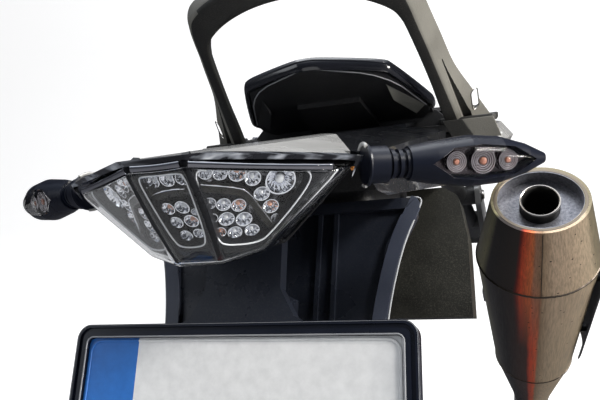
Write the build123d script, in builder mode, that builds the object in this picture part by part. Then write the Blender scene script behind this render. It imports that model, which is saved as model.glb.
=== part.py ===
from build123d import *
from math import cos, radians, sin, tan
import os

# Motorcycle tail section, from the rear subframe's lugs back to the number plate.
# Origin: middle of the upper lug axis. X is right, Y is forward, Z is up, in millimetres.
# Most sizes are read from the plate frame's top edge: t runs forward of it, z runs up from it.

os.makedirs("parts", exist_ok=True)

SIDES = (("left", -1), ("right", 1))  # name, sign of X
CLEAR = 0.3  # gap between curved faces of neighbouring pieces

# Datum
REAR_REACH = 600.0  # lug axis back to the plate frame's top edge
PLATE_DROP = 60.0  # lug axis down to that edge

# Subframe; stations called BACK run rearward from the lugs
LUG_X = 105.0
LUG_PITCH = 130.0  # upper lug down to lower lug
LUG_R = 15.0
LUG_WIDE = 24.0
LUG_BORE_R = 5.25
TUBE_D = 25.0
STRUT_D = 23.0
CROSS_D = 18.0
RAIL_KNEE_BACK = 170.0
RAIL_KNEE_X = 100.0
RAIL_Z = 76.0
RAIL_END_T = 90.0
RAIL_END_X = 72.0
RAIL_BEND_R = 100.0
STRUT_JOIN_BACK = 290.0
STRUT_JOIN_X = 90.0
STRUT_JOIN_DROP = 3.0
CROSS_BACKS = (55.0, 270.0, 420.0)
CORNER_R = 6.0
REAR_PLATE_THICK = 4.0
REAR_PLATE_TALL = 30.0
PAD_TOP_Z = 94.0
PAD_THICK = 7.0
PAD_IN_X = 80.0
PAD_OUT_X = 130.0
BOSS_R = 11.0

# Skins
SKIN = 3.0
DECK_Z = 100.0
COWL_FRONT_T = 266.0
COWL_CORE_DROP = 20.0
COWL_RIM_DEEP = 6.0
COWL_RIM_BACK = 4.0
COWL_STATIONS = (  # t, deck half width, deck z, shoulder half width, shoulder z, hem half width, hem z
    (-70.0, 20.0, DECK_Z + 2, 87.0, 90.0, 42.0, 42.0),
    (40.0, 44.0, DECK_Z + 1, 92.0, 90.0, 84.0, 62.0),
    (COWL_FRONT_T, 62.0, DECK_Z, 107.0, 90.0, 105.0, 40.0),
)

# Lamp, seen from behind
LAMP_TOP_X = 16.5
LAMP_TOP_Z = 98.0
LAMP_SHOULDER_X = 82.0
LAMP_SHOULDER_Z = 86.0
LAMP_CHEEK_X = 35.0
LAMP_CHEEK_Z = 45.0
LAMP_CHIN_X = 14.0
LAMP_CHIN_Z = 41.0
LAMP_NOSE_T = -65.0
LAMP_SHOULDER_T = -18.0
LAMP_CHEEK_T = -21.0
LAMP_CHIN_T = -32.0
LAMP_SEAT_T = 12.0
LAMP_SEAM = 1.0  # gap between the lens and the cowl's rim
LENS_WALL = 2.5
CELL_BACK = 12.0  # lens face to the reflector's cells
CELL_FIT = 1.0
HOUSING_DEEP = 55.0
HOUSING_BACK_W = 90.0
HOUSING_BACK_H = 30.0
HOUSING_STUD_X = 25.0
HOUSING_STUD_R = 6.0
FOOT_BLOCK_T = 36.0
FOOT_BLOCK_LONG = 30.0
FOOT_BLOCK_HALF = 25.0
FOOT_BLOCK_DROP = 1.0  # under the lamp's chin
FOOT_BLOCK_TALL = 14.0
SIDE_CELLS = (  # along the facet's top edge, below it, radius
    (10.0, 12.0, 5.0),
    (21.5, 12.5, 5.0),
    (33.0, 13.0, 5.5),
    (52.0, 14.0, 8.5),
    (39.0, 24.5, 5.0),
    (31.0, 34.5, 4.5),
    (5.0, 31.0, 4.2),
    (14.5, 33.0, 4.2),
    (9.0, 42.0, 4.2),
)
NOSE_CELLS = (  # X, below the facet's top edge, radius
    (-7.0, 12.0, 5.0),
    (5.0, 12.0, 5.0),
    (-6.0, 31.0, 4.2),
    (4.0, 33.0, 4.2),
)
CELL_DEEP = 5.0

# Grab hoop, drawn in a plane that leans down towards the front: X and b, its depth is c
HOOP_SLOPE = 42.0
HOOP_T = 180.6
HOOP_Z = 200.6
HOOP_THICK = 24.0
HOOP_CHAMFER = 7.0
HOOP_BAND = 23.0
HOOP_CORNER_X = 84.0
HOOP_CORNER_B = 18.0
HOOP_BOW = 35.0
HOOP_OUT_X = 101.0
HOOP_OUT_B = 4.0
HOOP_GUSSET = 15.0  # rounds the hand hold's corners
ARM_STATIONS = (  # b, inner X, low outer X, top outer X; the outer face slants outwards
    (4.0, 82.0, 88.5, 100.5),
    (100.0, 97.5, 108.5, 120.5),
    (190.0, 109.0, 122.0, 152.0),
)
ARM_SLOPE_X = 1.0
ARM_LOW_C = 2.0
ARM_TOP_C = 22.0
WEDGE = ((110.0, 86.0), (124.0, 143.0), (128.0, 185.0), (125.0, 185.0))  # X, b; a hollow in each outer face
WEDGE_DEEP = 24.0
WEDGE_FLOOR = 13.0
STRAP_SLOT_X = 132.5
STRAP_SLOT_B = 156.0
STRAP_SLOT_LONG = 20.0
STRAP_SLOT_WIDE = 6.0
FOOT_LEAD = 49.0  # foot's middle in front of where the arm's underside meets the pad
FOOT_T = HOOP_T + (HOOP_Z - PAD_TOP_Z) / tan(radians(HOOP_SLOPE)) + FOOT_LEAD
FOOT_LONG = 100.0
FOOT_IN_X = 98.0
FOOT_OUT_X = 152.0
FOOT_THICK = 6.0

# Seat; its tail overhangs the deck, and the tail's underside slopes down to the front
TAIL_T = 230.0
TAIL_Z = 146.0  # underside at TAIL_T
TAIL_SLOPE = 23.2
TAIL_THICK = 4.0
TAIL_OUTLINE = ((9.0, 205.0), (65.0, 232.0), (89.0, 300.0), (89.0, 316.0), (74.0, 340.0))  # X, t
HUMP_OUTLINE = ((31.0, 267.0), (38.0, 340.0))  # X, t
HUMP_OUT = 5.0
TONGUE_HALF = 72.0
TONGUE_LONG = 70.0
SEAT_BASE_Z = 112.0
SEAT_SKIRT = 5.0  # the base is this much wider than the side
SEAT_STATIONS = (  # t, crown half, crown z, shoulder half, shoulder z, side half, side z
    (200.0, 8.0, 166.5, 9.5, 165.0, 10.5, 157.0),
    (TAIL_T, 14.0, 168.0, 64.0, 157.5, 69.0, 147.0),
    (300.0, 24.0, 170.0, 60.0, 155.0, 93.0, 119.0),
    (420.0, 24.0, 172.0, 50.0, 150.0, 80.0, 118.0),
    (REAR_REACH - 40.0, 10.0, 162.0, 34.0, 144.0, 66.0, 117.0),
)
PAN_THICK = 4.0
PAN_OUTLINE = ((90.0, 300.0), (92.0, 350.0), (99.0, 410.0), (99.0, 575.0), (84.0, 588.0))  # X, t
PAN_RIB_X = 66.0
PAN_RIB_WIDE = 5.0
PAN_RIB_TALL = 7.0
PAN_RIB_T = (350.0, 560.0)
BUFFER_R = 8.0
BUFFER_IN = 9.0  # inboard of the rail's middle
BUFFER_BACKS = (30.0, 160.0)

# Side covers: section points X and z, from the foot round the outside to the top edge
COVER_STATIONS = (  # t, foot X, foot z, low X, low z, belly X, belly z, top X, top z, lip X
    (290.0, 112.0, 42.0, 142.0, 56.0, 152.0, 72.0, 144.0, 88.0, 134.0),
    (420.0, 122.0, 34.0, 156.0, 56.0, 166.0, 73.0, 154.0, 89.0, 134.0),
    (REAR_REACH - 12.0, 124.0, 34.0, 146.0, 56.0, 152.0, 73.0, 142.0, 87.0, 132.0),
)
PEG_R = 5.0
PEG_BACKS = (110.0, 265.0)

# Undertray
TRAY_HALF = 66.0
TRAY_FLOOR_Z = 24.0
TRAY_REAR_T = 112.0
TRAY_FRONT_BACK = 40.0
TRAY_CORNER_R = 14.0

# Indicators; s runs along the stem's axis from its root
STEM_ROOT = (88.0, 4.0, 84.0)  # X, t, z
TIP = (181.0, 54.0, 75.0)  # X, t, z
STEM_R = 10.0
STEM_LONG = 11.0
BELLOWS_R = 8.0
BELLOWS_GROOVE = 1.6
BELLOWS_PITCH = 4.0
BELLOWS_RINGS = 3
LEAF_PROFILE = (  # from the leaf's start, radius
    (0.0, 9.3),
    (14.0, 11.8),
    (34.0, 14.2),
    (52.0, 13.0),
    (68.0, 8.5),
    (80.0, 3.0),
)
LENS_START = 10.5  # from the leaf's start
LENS_OUTLINE = ((0.0, 0.0), (12.0, 8.0), (28.0, 9.6), (48.0, 7.6), (62.0, 0.0))  # along, half height
LENS_SINK = 3.0  # pocket's floor in front of the leaf's axis
LENS_SHELL = 1.5
OPTIC_STATIONS = (17.0, 32.0, 46.0)  # from the lens's start
OPTIC_R = 6.0
OPTIC_TALL = 3.0
OPTIC_BASE = 1.2

# Number plate
PLATE_LEAN = 26.8  # top edge leans forward
PLATE_W = 200.0
PLATE_H = 160.0
PLATE_T = 1.5
PLATE_SINK = 4.0
PLATE_FIT = 0.3
FRAME_BORDER = 8.0
FRAME_T = 9.0
FRAME_CORNER_R = 9.0
FRAME_GROOVE = 2.5
FRAME_GROOVE_DEEP = 1.5
FRAME_RIM = 2.0
REFLECTOR_GAP = 4.0
REFLECTOR_W = 64.0
REFLECTOR_H = 26.0
REFLECTOR_T = 8.0

# Hanger and mudguards
HANGER_OUTLINE = (  # half width, up the plate's slope
    (25.0, 70.0),
    (25.0, 21.0),
    (34.0, 5.0),
    (51.0, -7.0),
    (56.0, -40.0),
    (56.0, -100.0),
    (25.0, -130.0),
    (25.0, -206.0),
)
HANGER_THICK = 10.0
WEB_HALF = 18.0
WEB_UP = 10.0
WEB_TALL = 26.0
WEB_LONG = 90.0
GUARD_T = 56.0
GUARD_Z = -18.0
GUARD_LEAN = 33.0
GUARD_OUTLINE = ((78.0, -50.0), (78.0, 0.0), (86.0, 48.0), (104.0, 84.0))  # half width, up the slope
GUARD_CORNER_R = 9.0
GUARD_DEEP = 11.0
GUARD_RIM = 8.0
GUARD_SINK = 4.0
GUARD_FLOOR = 3.0
GUARD_RIBS = (31.0, 42.5)  # X
GUARD_RIB_WIDE = 3.0
GUARD_RIB_SINK = 1.0
ARCH_T = 214.0
ARCH_LEAN = 20.0
ARCH_OUTLINE = ((122.0, -66.0), (122.0, 0.0), (116.0, 37.0), (104.0, 45.0), (72.0, 45.0))  # X, up the slope
ARCH_CORNER_R = 10.0
ARCH_DEEP = 45.0
ARCH_BLOCK_HALF = 35.0
ARCH_BLOCK_LONG = 16.0
ARCH_NOTCH_GAP = 6.0  # under the undertray's floor

# Silencer, right side only; s runs from the outlet forward along its axis
PIPE_X = 187.0
PIPE_T = 378.0
PIPE_Z = 4.0
PIPE_SLOPE = 46.0
PIPE_INWARD = 2.6  # the axis leans towards the middle as it goes forward
OUTLET_R = 20.5
OUTLET_WALL = 1.5
OUTLET_START = 2.0
OUTLET_LONG = 58.0
DISH_RIM = 7.0
DISH_DEEP = 16.0
SHELL_STATIONS = (  # s, half width across, half height
    (0.0, 50.0, 44.0),
    (102.0, 69.0, 60.0),
    (370.0, 53.0, 48.0),
    (520.0, 27.0, 27.0),
)
INLET_R = 27.0
INLET_WALL = 1.5
INLET_LONG = 60.0
SHIELD_GAP = 8.0
SHIELD_THICK = 2.0
SHIELD_SPAN = (125.0, 325.0)  # s
SHIELD_HALF = 30.0
SHIELD_STUDS = (160.0, 290.0)  # s
SHIELD_END = 5.0
STUD_R = 5.0
STUD_ROOT = 2.0
CLAMP_S = 205.0
CLAMP_WIDE = 24.0
CLAMP_THICK = 2.0
CLAMP_END = 8.0
CLAMP_EAR_R = 14.0
CLAMP_EAR_THICK = 6.0
CLAMP_EAR_UP = 48.0  # off the silencer's axis

# Footrests
FOOTREST_T = REAR_REACH + 40.0
FOOTREST_Z = -150.0
FOOTREST_X = 150.0
BRACKET_GAP = 1.0  # lug's side to the bracket
BRACKET_THICK = 6.0
BRACKET_BOLT_BACKS = (60.0, 150.0)
BRACKET_OUTLINE = (  # behind the lugs, z
    (46.0, -28.0),
    (142.0, 22.0),
    (162.0, 14.0),
    (164.0, -6.0),
    (94.0, -66.0),
    (51.0, -118.0),
    (28.0, -142.0),
    (-22.0, -168.0),
    (-58.0, -166.0),
    (-60.0, -136.0),
    (-10.0, -112.0),
    (26.0, -92.0),
    (38.0, -40.0),
)
BRACKET_CORNER_R = 6.0
PIN_R = 4.0
PIN_FIT = 0.05
PIN_OUT = 1.0
TONGUE_WIDE = 16.0
TONGUE_R = 8.0
EAR_THICK = 6.0
EAR_GAP = 0.4
FOOTREST_LONG = 88.0
BAR_R = 9.0
BAR_START = 14.0
RUBBER_R = 14.0
RUBBER_START = 22.0
RUBBER_END_GAP = 4.0
HOLE_RUN = 30.0

# Worked out from the sizes above
KNEE_T = REAR_REACH - RAIL_KNEE_BACK
BRACKET_X = LUG_X + LUG_WIDE / 2 + BRACKET_GAP
FRAME_W = PLATE_W + 2 * FRAME_BORDER
FRAME_H = PLATE_H + 2 * FRAME_BORDER


def at(x, t, z):
    """Point from the plate frame's top edge."""
    return (x, t - REAR_REACH, z - PLATE_DROP)


SIDE = Plane(origin=at(0, 0, 0), x_dir=(0, 1, 0), z_dir=(1, 0, 0))  # draws t, z
LEVEL = Plane(origin=at(0, 0, 0))  # draws X, t
REAR = Plane(origin=at(0, 0, 0), x_dir=(1, 0, 0), z_dir=(0, -1, 0))  # draws X, z


def leaning(t, z, lean):
    """Plane seen from behind, through t and z, its top leaning forward."""
    normal = (0, -cos(radians(lean)), sin(radians(lean)))
    return Plane(origin=at(0, t, z), x_dir=(1, 0, 0), z_dir=normal)


def between(value, low, high):
    """Row at value on the straight run between two table rows, whose first column it is."""
    share = (value - low[0]) / (high[0] - low[0])
    return [a + share * (b - a) for a, b in zip(low, high)]


def rail(t):
    """X and z of the right rail's middle at t, its rounded knee left out."""
    end = (RAIL_END_T, RAIL_END_X, RAIL_Z)
    knee = (KNEE_T, RAIL_KNEE_X, RAIL_Z)
    lug = (REAR_REACH, LUG_X, PLATE_DROP)
    return between(t, knee, lug)[1:] if t > KNEE_T else between(t, end, knee)[1:]


def beside(points, gap):
    """Points of a line that runs beside another at a gap, on its left."""
    line = [Vector(*point) for point in points]
    steps = [(b - a).normalized() for a, b in zip(line, line[1:])]
    normals = [Vector(-step.Y, step.X) for step in steps]
    moved = [line[0] + normals[0] * gap]
    for point, before, after in zip(line[1:], normals, normals[1:]):
        mean = (before + after).normalized()
        moved.append(point + mean * (gap / mean.dot(before)))
    moved.append(line[-1] + normals[-1] * gap)
    return [(point.X, point.Y) for point in moved]


def both_halves(points):
    """Closed outline from its right half, given from the bottom to the top."""
    return list(points) + [(-x, y) for x, y in reversed(points)]


STRUT_LOW = (0.0, LUG_X, PLATE_DROP - LUG_PITCH)  # behind the lugs, X, z
STRUT_HIGH = (STRUT_JOIN_BACK, STRUT_JOIN_X, RAIL_Z - STRUT_JOIN_DROP)

# Subframe: two rails, two struts, cross tubes, lugs, bracket bosses and the hoop's pads
with BuildPart() as subframe:
    for side, hand in SIDES:
        with BuildLine() as rail_path:
            FilletPolyline(
                at(hand * LUG_X, REAR_REACH, PLATE_DROP),
                at(hand * RAIL_KNEE_X, KNEE_T, RAIL_Z),
                at(hand * RAIL_END_X, RAIL_END_T, RAIL_Z),
                radius=RAIL_BEND_R,
            )
        with BuildSketch(Plane(origin=rail_path.line @ 0, z_dir=rail_path.line % 0)):
            Circle(TUBE_D / 2)
        sweep()
        with BuildLine() as strut_path:
            back, x, z = STRUT_HIGH
            Line(at(hand * LUG_X, REAR_REACH, STRUT_LOW[2]), at(hand * x, REAR_REACH - back, z))
        with BuildSketch(Plane(origin=strut_path.line @ 0, z_dir=strut_path.line % 0)):
            Circle(STRUT_D / 2)
        sweep()
        for drop in (0, LUG_PITCH):
            with BuildSketch(SIDE.offset(hand * (LUG_X - LUG_WIDE / 2))):
                with Locations((REAR_REACH, PLATE_DROP - drop)):
                    Circle(LUG_R)
            extrude(amount=hand * LUG_WIDE)
        with BuildSketch(LEVEL.offset(PAD_TOP_Z - PAD_THICK)):
            with Locations((hand * (PAD_IN_X + PAD_OUT_X) / 2, FOOT_T)):
                RectangleRounded(PAD_OUT_X - PAD_IN_X, FOOT_LONG, CORNER_R)
        extrude(amount=PAD_THICK)
        for bolt_back in BRACKET_BOLT_BACKS:
            back, x, z = between(bolt_back, STRUT_LOW, STRUT_HIGH)
            with BuildSketch(SIDE.offset(hand * x)):
                with Locations((REAR_REACH - back, z)):
                    Circle(BOSS_R)
            extrude(amount=hand * (BRACKET_X - x))
    for cross_back in CROSS_BACKS:
        half, z = rail(REAR_REACH - cross_back)
        with BuildSketch(SIDE.offset(-half)):
            with Locations((REAR_REACH - cross_back, RAIL_Z)):
                Circle(CROSS_D / 2)
        extrude(amount=2 * half)
    with BuildSketch(REAR.offset(-RAIL_END_T - REAR_PLATE_THICK)):
        with Locations((0, RAIL_Z)):
            RectangleRounded(2 * RAIL_END_X + TUBE_D / 2, REAR_PLATE_TALL, CORNER_R)
    extrude(amount=REAR_PLATE_THICK)
    for drop in (0, LUG_PITCH):
        with BuildSketch(SIDE.offset(-LUG_X - LUG_WIDE)):
            with Locations((REAR_REACH, PLATE_DROP - drop)):
                Circle(LUG_BORE_R)
        extrude(amount=2 * (LUG_X + LUG_WIDE), mode=Mode.SUBTRACT)
subframe.part.label = "subframe"
export_step(subframe.part, "parts/subframe.step")

# Undertray: an open tray between the rails, its rim under the cross tubes
TRAY_FRONT_T = REAR_REACH - TRAY_FRONT_BACK
with BuildPart() as undertray:
    with BuildSketch(LEVEL.offset(TRAY_FLOOR_Z)):
        with Locations((0, (TRAY_REAR_T + TRAY_FRONT_T) / 2)):
            RectangleRounded(2 * TRAY_HALF, TRAY_FRONT_T - TRAY_REAR_T, TRAY_CORNER_R)
    extrude(amount=RAIL_Z - CROSS_D / 2 - CLEAR - TRAY_FLOOR_Z)
    rim = undertray.faces().sort_by(Axis.Z)[-1]
    offset(amount=-SKIN, openings=rim)
undertray.part.label = "undertray"
export_step(undertray.part, "parts/undertray.step")


def lamp_outline(grow):
    """Lamp seen from behind, as X and z, grown outwards by an amount."""
    half = (
        (LAMP_CHIN_X, LAMP_CHIN_Z),
        (LAMP_CHEEK_X, LAMP_CHEEK_Z),
        (LAMP_SHOULDER_X, LAMP_SHOULDER_Z),
        (LAMP_TOP_X, LAMP_TOP_Z),
    )
    with BuildSketch() as outline:
        with BuildLine():
            Polyline(*both_halves(half), close=True)
        make_face()
        if grow:
            offset(amount=grow, kind=Kind.INTERSECTION)
    return outline.sketch


def lamp_facets(back):
    """The nose's planes, moved forward by an amount: centre, left cheek, right cheek."""
    nose = at(0, LAMP_NOSE_T + back, LAMP_TOP_Z)
    lean = (LAMP_CHIN_T - LAMP_NOSE_T) / (LAMP_TOP_Z - LAMP_CHIN_Z)
    planes = [Plane(origin=nose, x_dir=(1, 0, 0), z_dir=(0, -1, -lean))]
    for side, hand in SIDES:
        inner = Vector(*at(hand * LAMP_TOP_X, LAMP_NOSE_T + back, LAMP_TOP_Z))
        outer = Vector(*at(hand * LAMP_SHOULDER_X, LAMP_SHOULDER_T + back, LAMP_SHOULDER_Z))
        low = Vector(*at(hand * LAMP_CHEEK_X, LAMP_CHEEK_T + back, LAMP_CHEEK_Z))
        normal = (outer - inner).cross(low - inner)
        if normal.Y > 0:
            normal = -normal
        planes.append(Plane(origin=inner, x_dir=outer - inner, z_dir=normal))
    return planes


# Lamp lens: a clear faceted shell with a pointed nose, open to the front
LAMP_DEEP = LAMP_SEAT_T - LAMP_NOSE_T
with BuildPart() as lens_core:
    with BuildSketch(REAR.offset(-LAMP_SEAT_T)):
        add(lamp_outline(-LENS_WALL))
    extrude(amount=LAMP_DEEP)
    for facet in lamp_facets(LENS_WALL):
        split(bisect_by=facet, keep=Keep.BOTTOM)
with BuildPart() as lamp_lens:
    with BuildSketch(REAR.offset(-LAMP_SEAT_T)):
        add(lamp_outline(0))
    extrude(amount=LAMP_DEEP)
    for facet in lamp_facets(0):
        split(bisect_by=facet, keep=Keep.BOTTOM)
    add(lens_core.part, mode=Mode.SUBTRACT)
lamp_lens.part.label = "lamp_lens"
export_step(lamp_lens.part, "parts/lamp_lens.step")

# Lamp housing: the closed back of the lamp, its rear face on the lens
with BuildPart() as lamp_housing:
    with BuildSketch(REAR.offset(-LAMP_SEAT_T)):
        add(lamp_outline(0))
    with BuildSketch(REAR.offset(-LAMP_SEAT_T - HOUSING_DEEP)):
        with Locations((0, (LAMP_TOP_Z + LAMP_CHEEK_Z) / 2)):
            RectangleRounded(HOUSING_BACK_W, HOUSING_BACK_H, CORNER_R)
    loft()
    with BuildSketch(REAR.offset(-LAMP_SEAT_T - HOUSING_DEEP)):
        with Locations((-HOUSING_STUD_X, RAIL_Z), (HOUSING_STUD_X, RAIL_Z)):
            Circle(HOUSING_STUD_R)
    extrude(amount=-(RAIL_END_T - LAMP_SEAT_T - HOUSING_DEEP))
    with BuildSketch(LEVEL.offset(LAMP_CHIN_Z - FOOT_BLOCK_DROP)):
        with Locations((0, FOOT_BLOCK_T)):
            Rectangle(2 * FOOT_BLOCK_HALF, FOOT_BLOCK_LONG)
    extrude(amount=FOOT_BLOCK_TALL)
lamp_housing.part.label = "lamp_housing"
export_step(lamp_housing.part, "parts/lamp_housing.step")

# Lamp reflector: the bright insert in the lens, with a round cell for each light
with BuildPart() as lamp_reflector:
    with BuildSketch(REAR.offset(-LAMP_SEAT_T)):
        add(lamp_outline(-LENS_WALL - CELL_FIT))
    extrude(amount=LAMP_DEEP)
    cell_facets = lamp_facets(LENS_WALL + CELL_BACK)
    for facet in cell_facets:
        split(bisect_by=facet, keep=Keep.BOTTOM)
    for along, below, radius in NOSE_CELLS:
        with BuildSketch(cell_facets[0]):
            with Locations((along, -below)):
                Circle(radius)
        extrude(amount=-CELL_DEEP, mode=Mode.SUBTRACT)
    for facet, (side, hand) in zip(cell_facets[1:], SIDES):
        for along, below, radius in SIDE_CELLS:
            with BuildSketch(facet):
                with Locations((along, -hand * below)):
                    Circle(radius)
            extrude(amount=-CELL_DEEP, mode=Mode.SUBTRACT)
lamp_reflector.part.label = "lamp_reflector"
export_step(lamp_reflector.part, "parts/lamp_reflector.step")

# Tail cowl: deck and flanks from the lamp's rim to the seat, open underneath
with BuildPart() as cowl_core:
    for t, deck_x, deck_z, shoulder_x, shoulder_z, hem_x, hem_z in COWL_STATIONS:
        beyond = {COWL_STATIONS[0][0]: -CLEAR, COWL_FRONT_T: CLEAR}.get(t, 0)
        half = (
            (hem_x - SKIN, hem_z - COWL_CORE_DROP),
            (shoulder_x - SKIN, shoulder_z - SKIN / 2),
            (deck_x - SKIN / 2, deck_z - SKIN),
        )
        with BuildSketch(REAR.offset(-t - beyond)):
            with BuildLine():
                Polyline(*both_halves(half), close=True)
            make_face()
    loft(ruled=True)
with BuildPart() as tail_cowl:
    for t, deck_x, deck_z, shoulder_x, shoulder_z, hem_x, hem_z in COWL_STATIONS:
        half = ((hem_x, hem_z), (shoulder_x, shoulder_z), (deck_x, deck_z))
        with BuildSketch(REAR.offset(-t)):
            with BuildLine():
                Polyline(*both_halves(half), close=True)
            make_face()
    loft(ruled=True)
    add(cowl_core.part, mode=Mode.SUBTRACT)
    with BuildSketch(REAR.offset(-LAMP_SEAT_T - COWL_RIM_DEEP)):
        add(lamp_outline(LAMP_SEAM))
    extrude(amount=LAMP_DEEP + COWL_RIM_DEEP, mode=Mode.SUBTRACT)
    for facet in lamp_facets(COWL_RIM_BACK):
        split(bisect_by=facet, keep=Keep.BOTTOM)
    with BuildSketch(LEVEL.offset(DECK_Z)):
        with Locations((0, COWL_FRONT_T + TONGUE_LONG / 2 - SKIN)):
            Rectangle(2 * TONGUE_HALF, TONGUE_LONG)
    extrude(amount=-SKIN)
    for side, hand in SIDES:
        root = Vector(*at(hand * STEM_ROOT[0], *STEM_ROOT[1:]))
        tip = Vector(*at(hand * TIP[0], *TIP[1:]))
        with BuildSketch(Plane(origin=root, z_dir=tip - root)):
            Circle(STEM_R + CLEAR)
        extrude(amount=STEM_LONG, both=True, mode=Mode.SUBTRACT)
tail_cowl.part.label = "tail_cowl"
export_step(tail_cowl.part, "parts/tail_cowl.step")


TAIL = leaning(TAIL_T, TAIL_Z, TAIL_SLOPE - 90)  # drawn in X and the way up the slope


def up_tail(outline):
    """Points of the tail's underside from rows of X and t."""
    return [(x, (TAIL_T - t) / cos(radians(TAIL_SLOPE))) for x, t in outline]


# Seat back panel: the six-sided wall under the seat's tail, with a hump, down to the deck
with BuildPart() as seat_back_panel:
    with BuildSketch(TAIL):
        with BuildLine():
            Polyline(*both_halves(up_tail(TAIL_OUTLINE)), close=True)
        make_face()
    extrude(amount=-TAIL_THICK)
    with BuildSketch(TAIL):
        with BuildLine():
            Polyline(*both_halves(up_tail(HUMP_OUTLINE)), close=True)
        make_face()
    extrude(amount=HUMP_OUT)
    split(bisect_by=LEVEL.offset(DECK_Z + CLEAR), keep=Keep.TOP)
seat_back_panel.part.label = "seat_back_panel"
export_step(seat_back_panel.part, "parts/seat_back_panel.step")

# Seat pan: a ribbed plate with rubber buffers that stand on the rails
PAN_Z = SEAT_BASE_Z - PAN_THICK
with BuildPart() as seat_pan:
    with BuildSketch(LEVEL.offset(PAN_Z)):
        with BuildLine():
            Polyline(*both_halves(PAN_OUTLINE), close=True)
        make_face()
    extrude(amount=PAN_THICK)
    split(bisect_by=TAIL.offset(-TAIL_THICK), keep=Keep.BOTTOM)
    for side, hand in SIDES:
        with BuildSketch(LEVEL.offset(PAN_Z - PAN_RIB_TALL)):
            with Locations((hand * PAN_RIB_X, (PAN_RIB_T[0] + PAN_RIB_T[1]) / 2)):
                Rectangle(PAN_RIB_WIDE, PAN_RIB_T[1] - PAN_RIB_T[0])
        extrude(amount=PAN_RIB_TALL)
        for back in BUFFER_BACKS:
            x, z = rail(REAR_REACH - back)
            foot_z = max(z, rail(REAR_REACH - back - BUFFER_R)[1]) + TUBE_D / 2 + 2 * CLEAR
            with BuildSketch(LEVEL.offset(foot_z)):
                with Locations((hand * (x - BUFFER_IN), REAR_REACH - back)):
                    Circle(BUFFER_R)
            extrude(amount=PAN_Z - foot_z)
seat_pan.part.label = "seat_pan"
export_step(seat_pan.part, "parts/seat_pan.step")

# Seat cushion: crowned across, its tail drawn out to a thin rear lip
with BuildPart() as seat_cushion:
    for t, top_x, top_z, shoulder_x, shoulder_z, side_x, side_z in SEAT_STATIONS:
        half = (
            (side_x + SEAT_SKIRT, SEAT_BASE_Z),
            (side_x, side_z),
            (shoulder_x, shoulder_z),
            (top_x, top_z),
        )
        with BuildSketch(REAR.offset(-t)):
            with BuildLine():
                Polyline(*both_halves(half), close=True)
            make_face()
    loft(ruled=True)
    split(bisect_by=TAIL.offset(-TAIL_THICK), keep=Keep.BOTTOM)
seat_cushion.part.label = "seat_cushion"
export_step(seat_cushion.part, "parts/seat_cushion.step")

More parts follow.
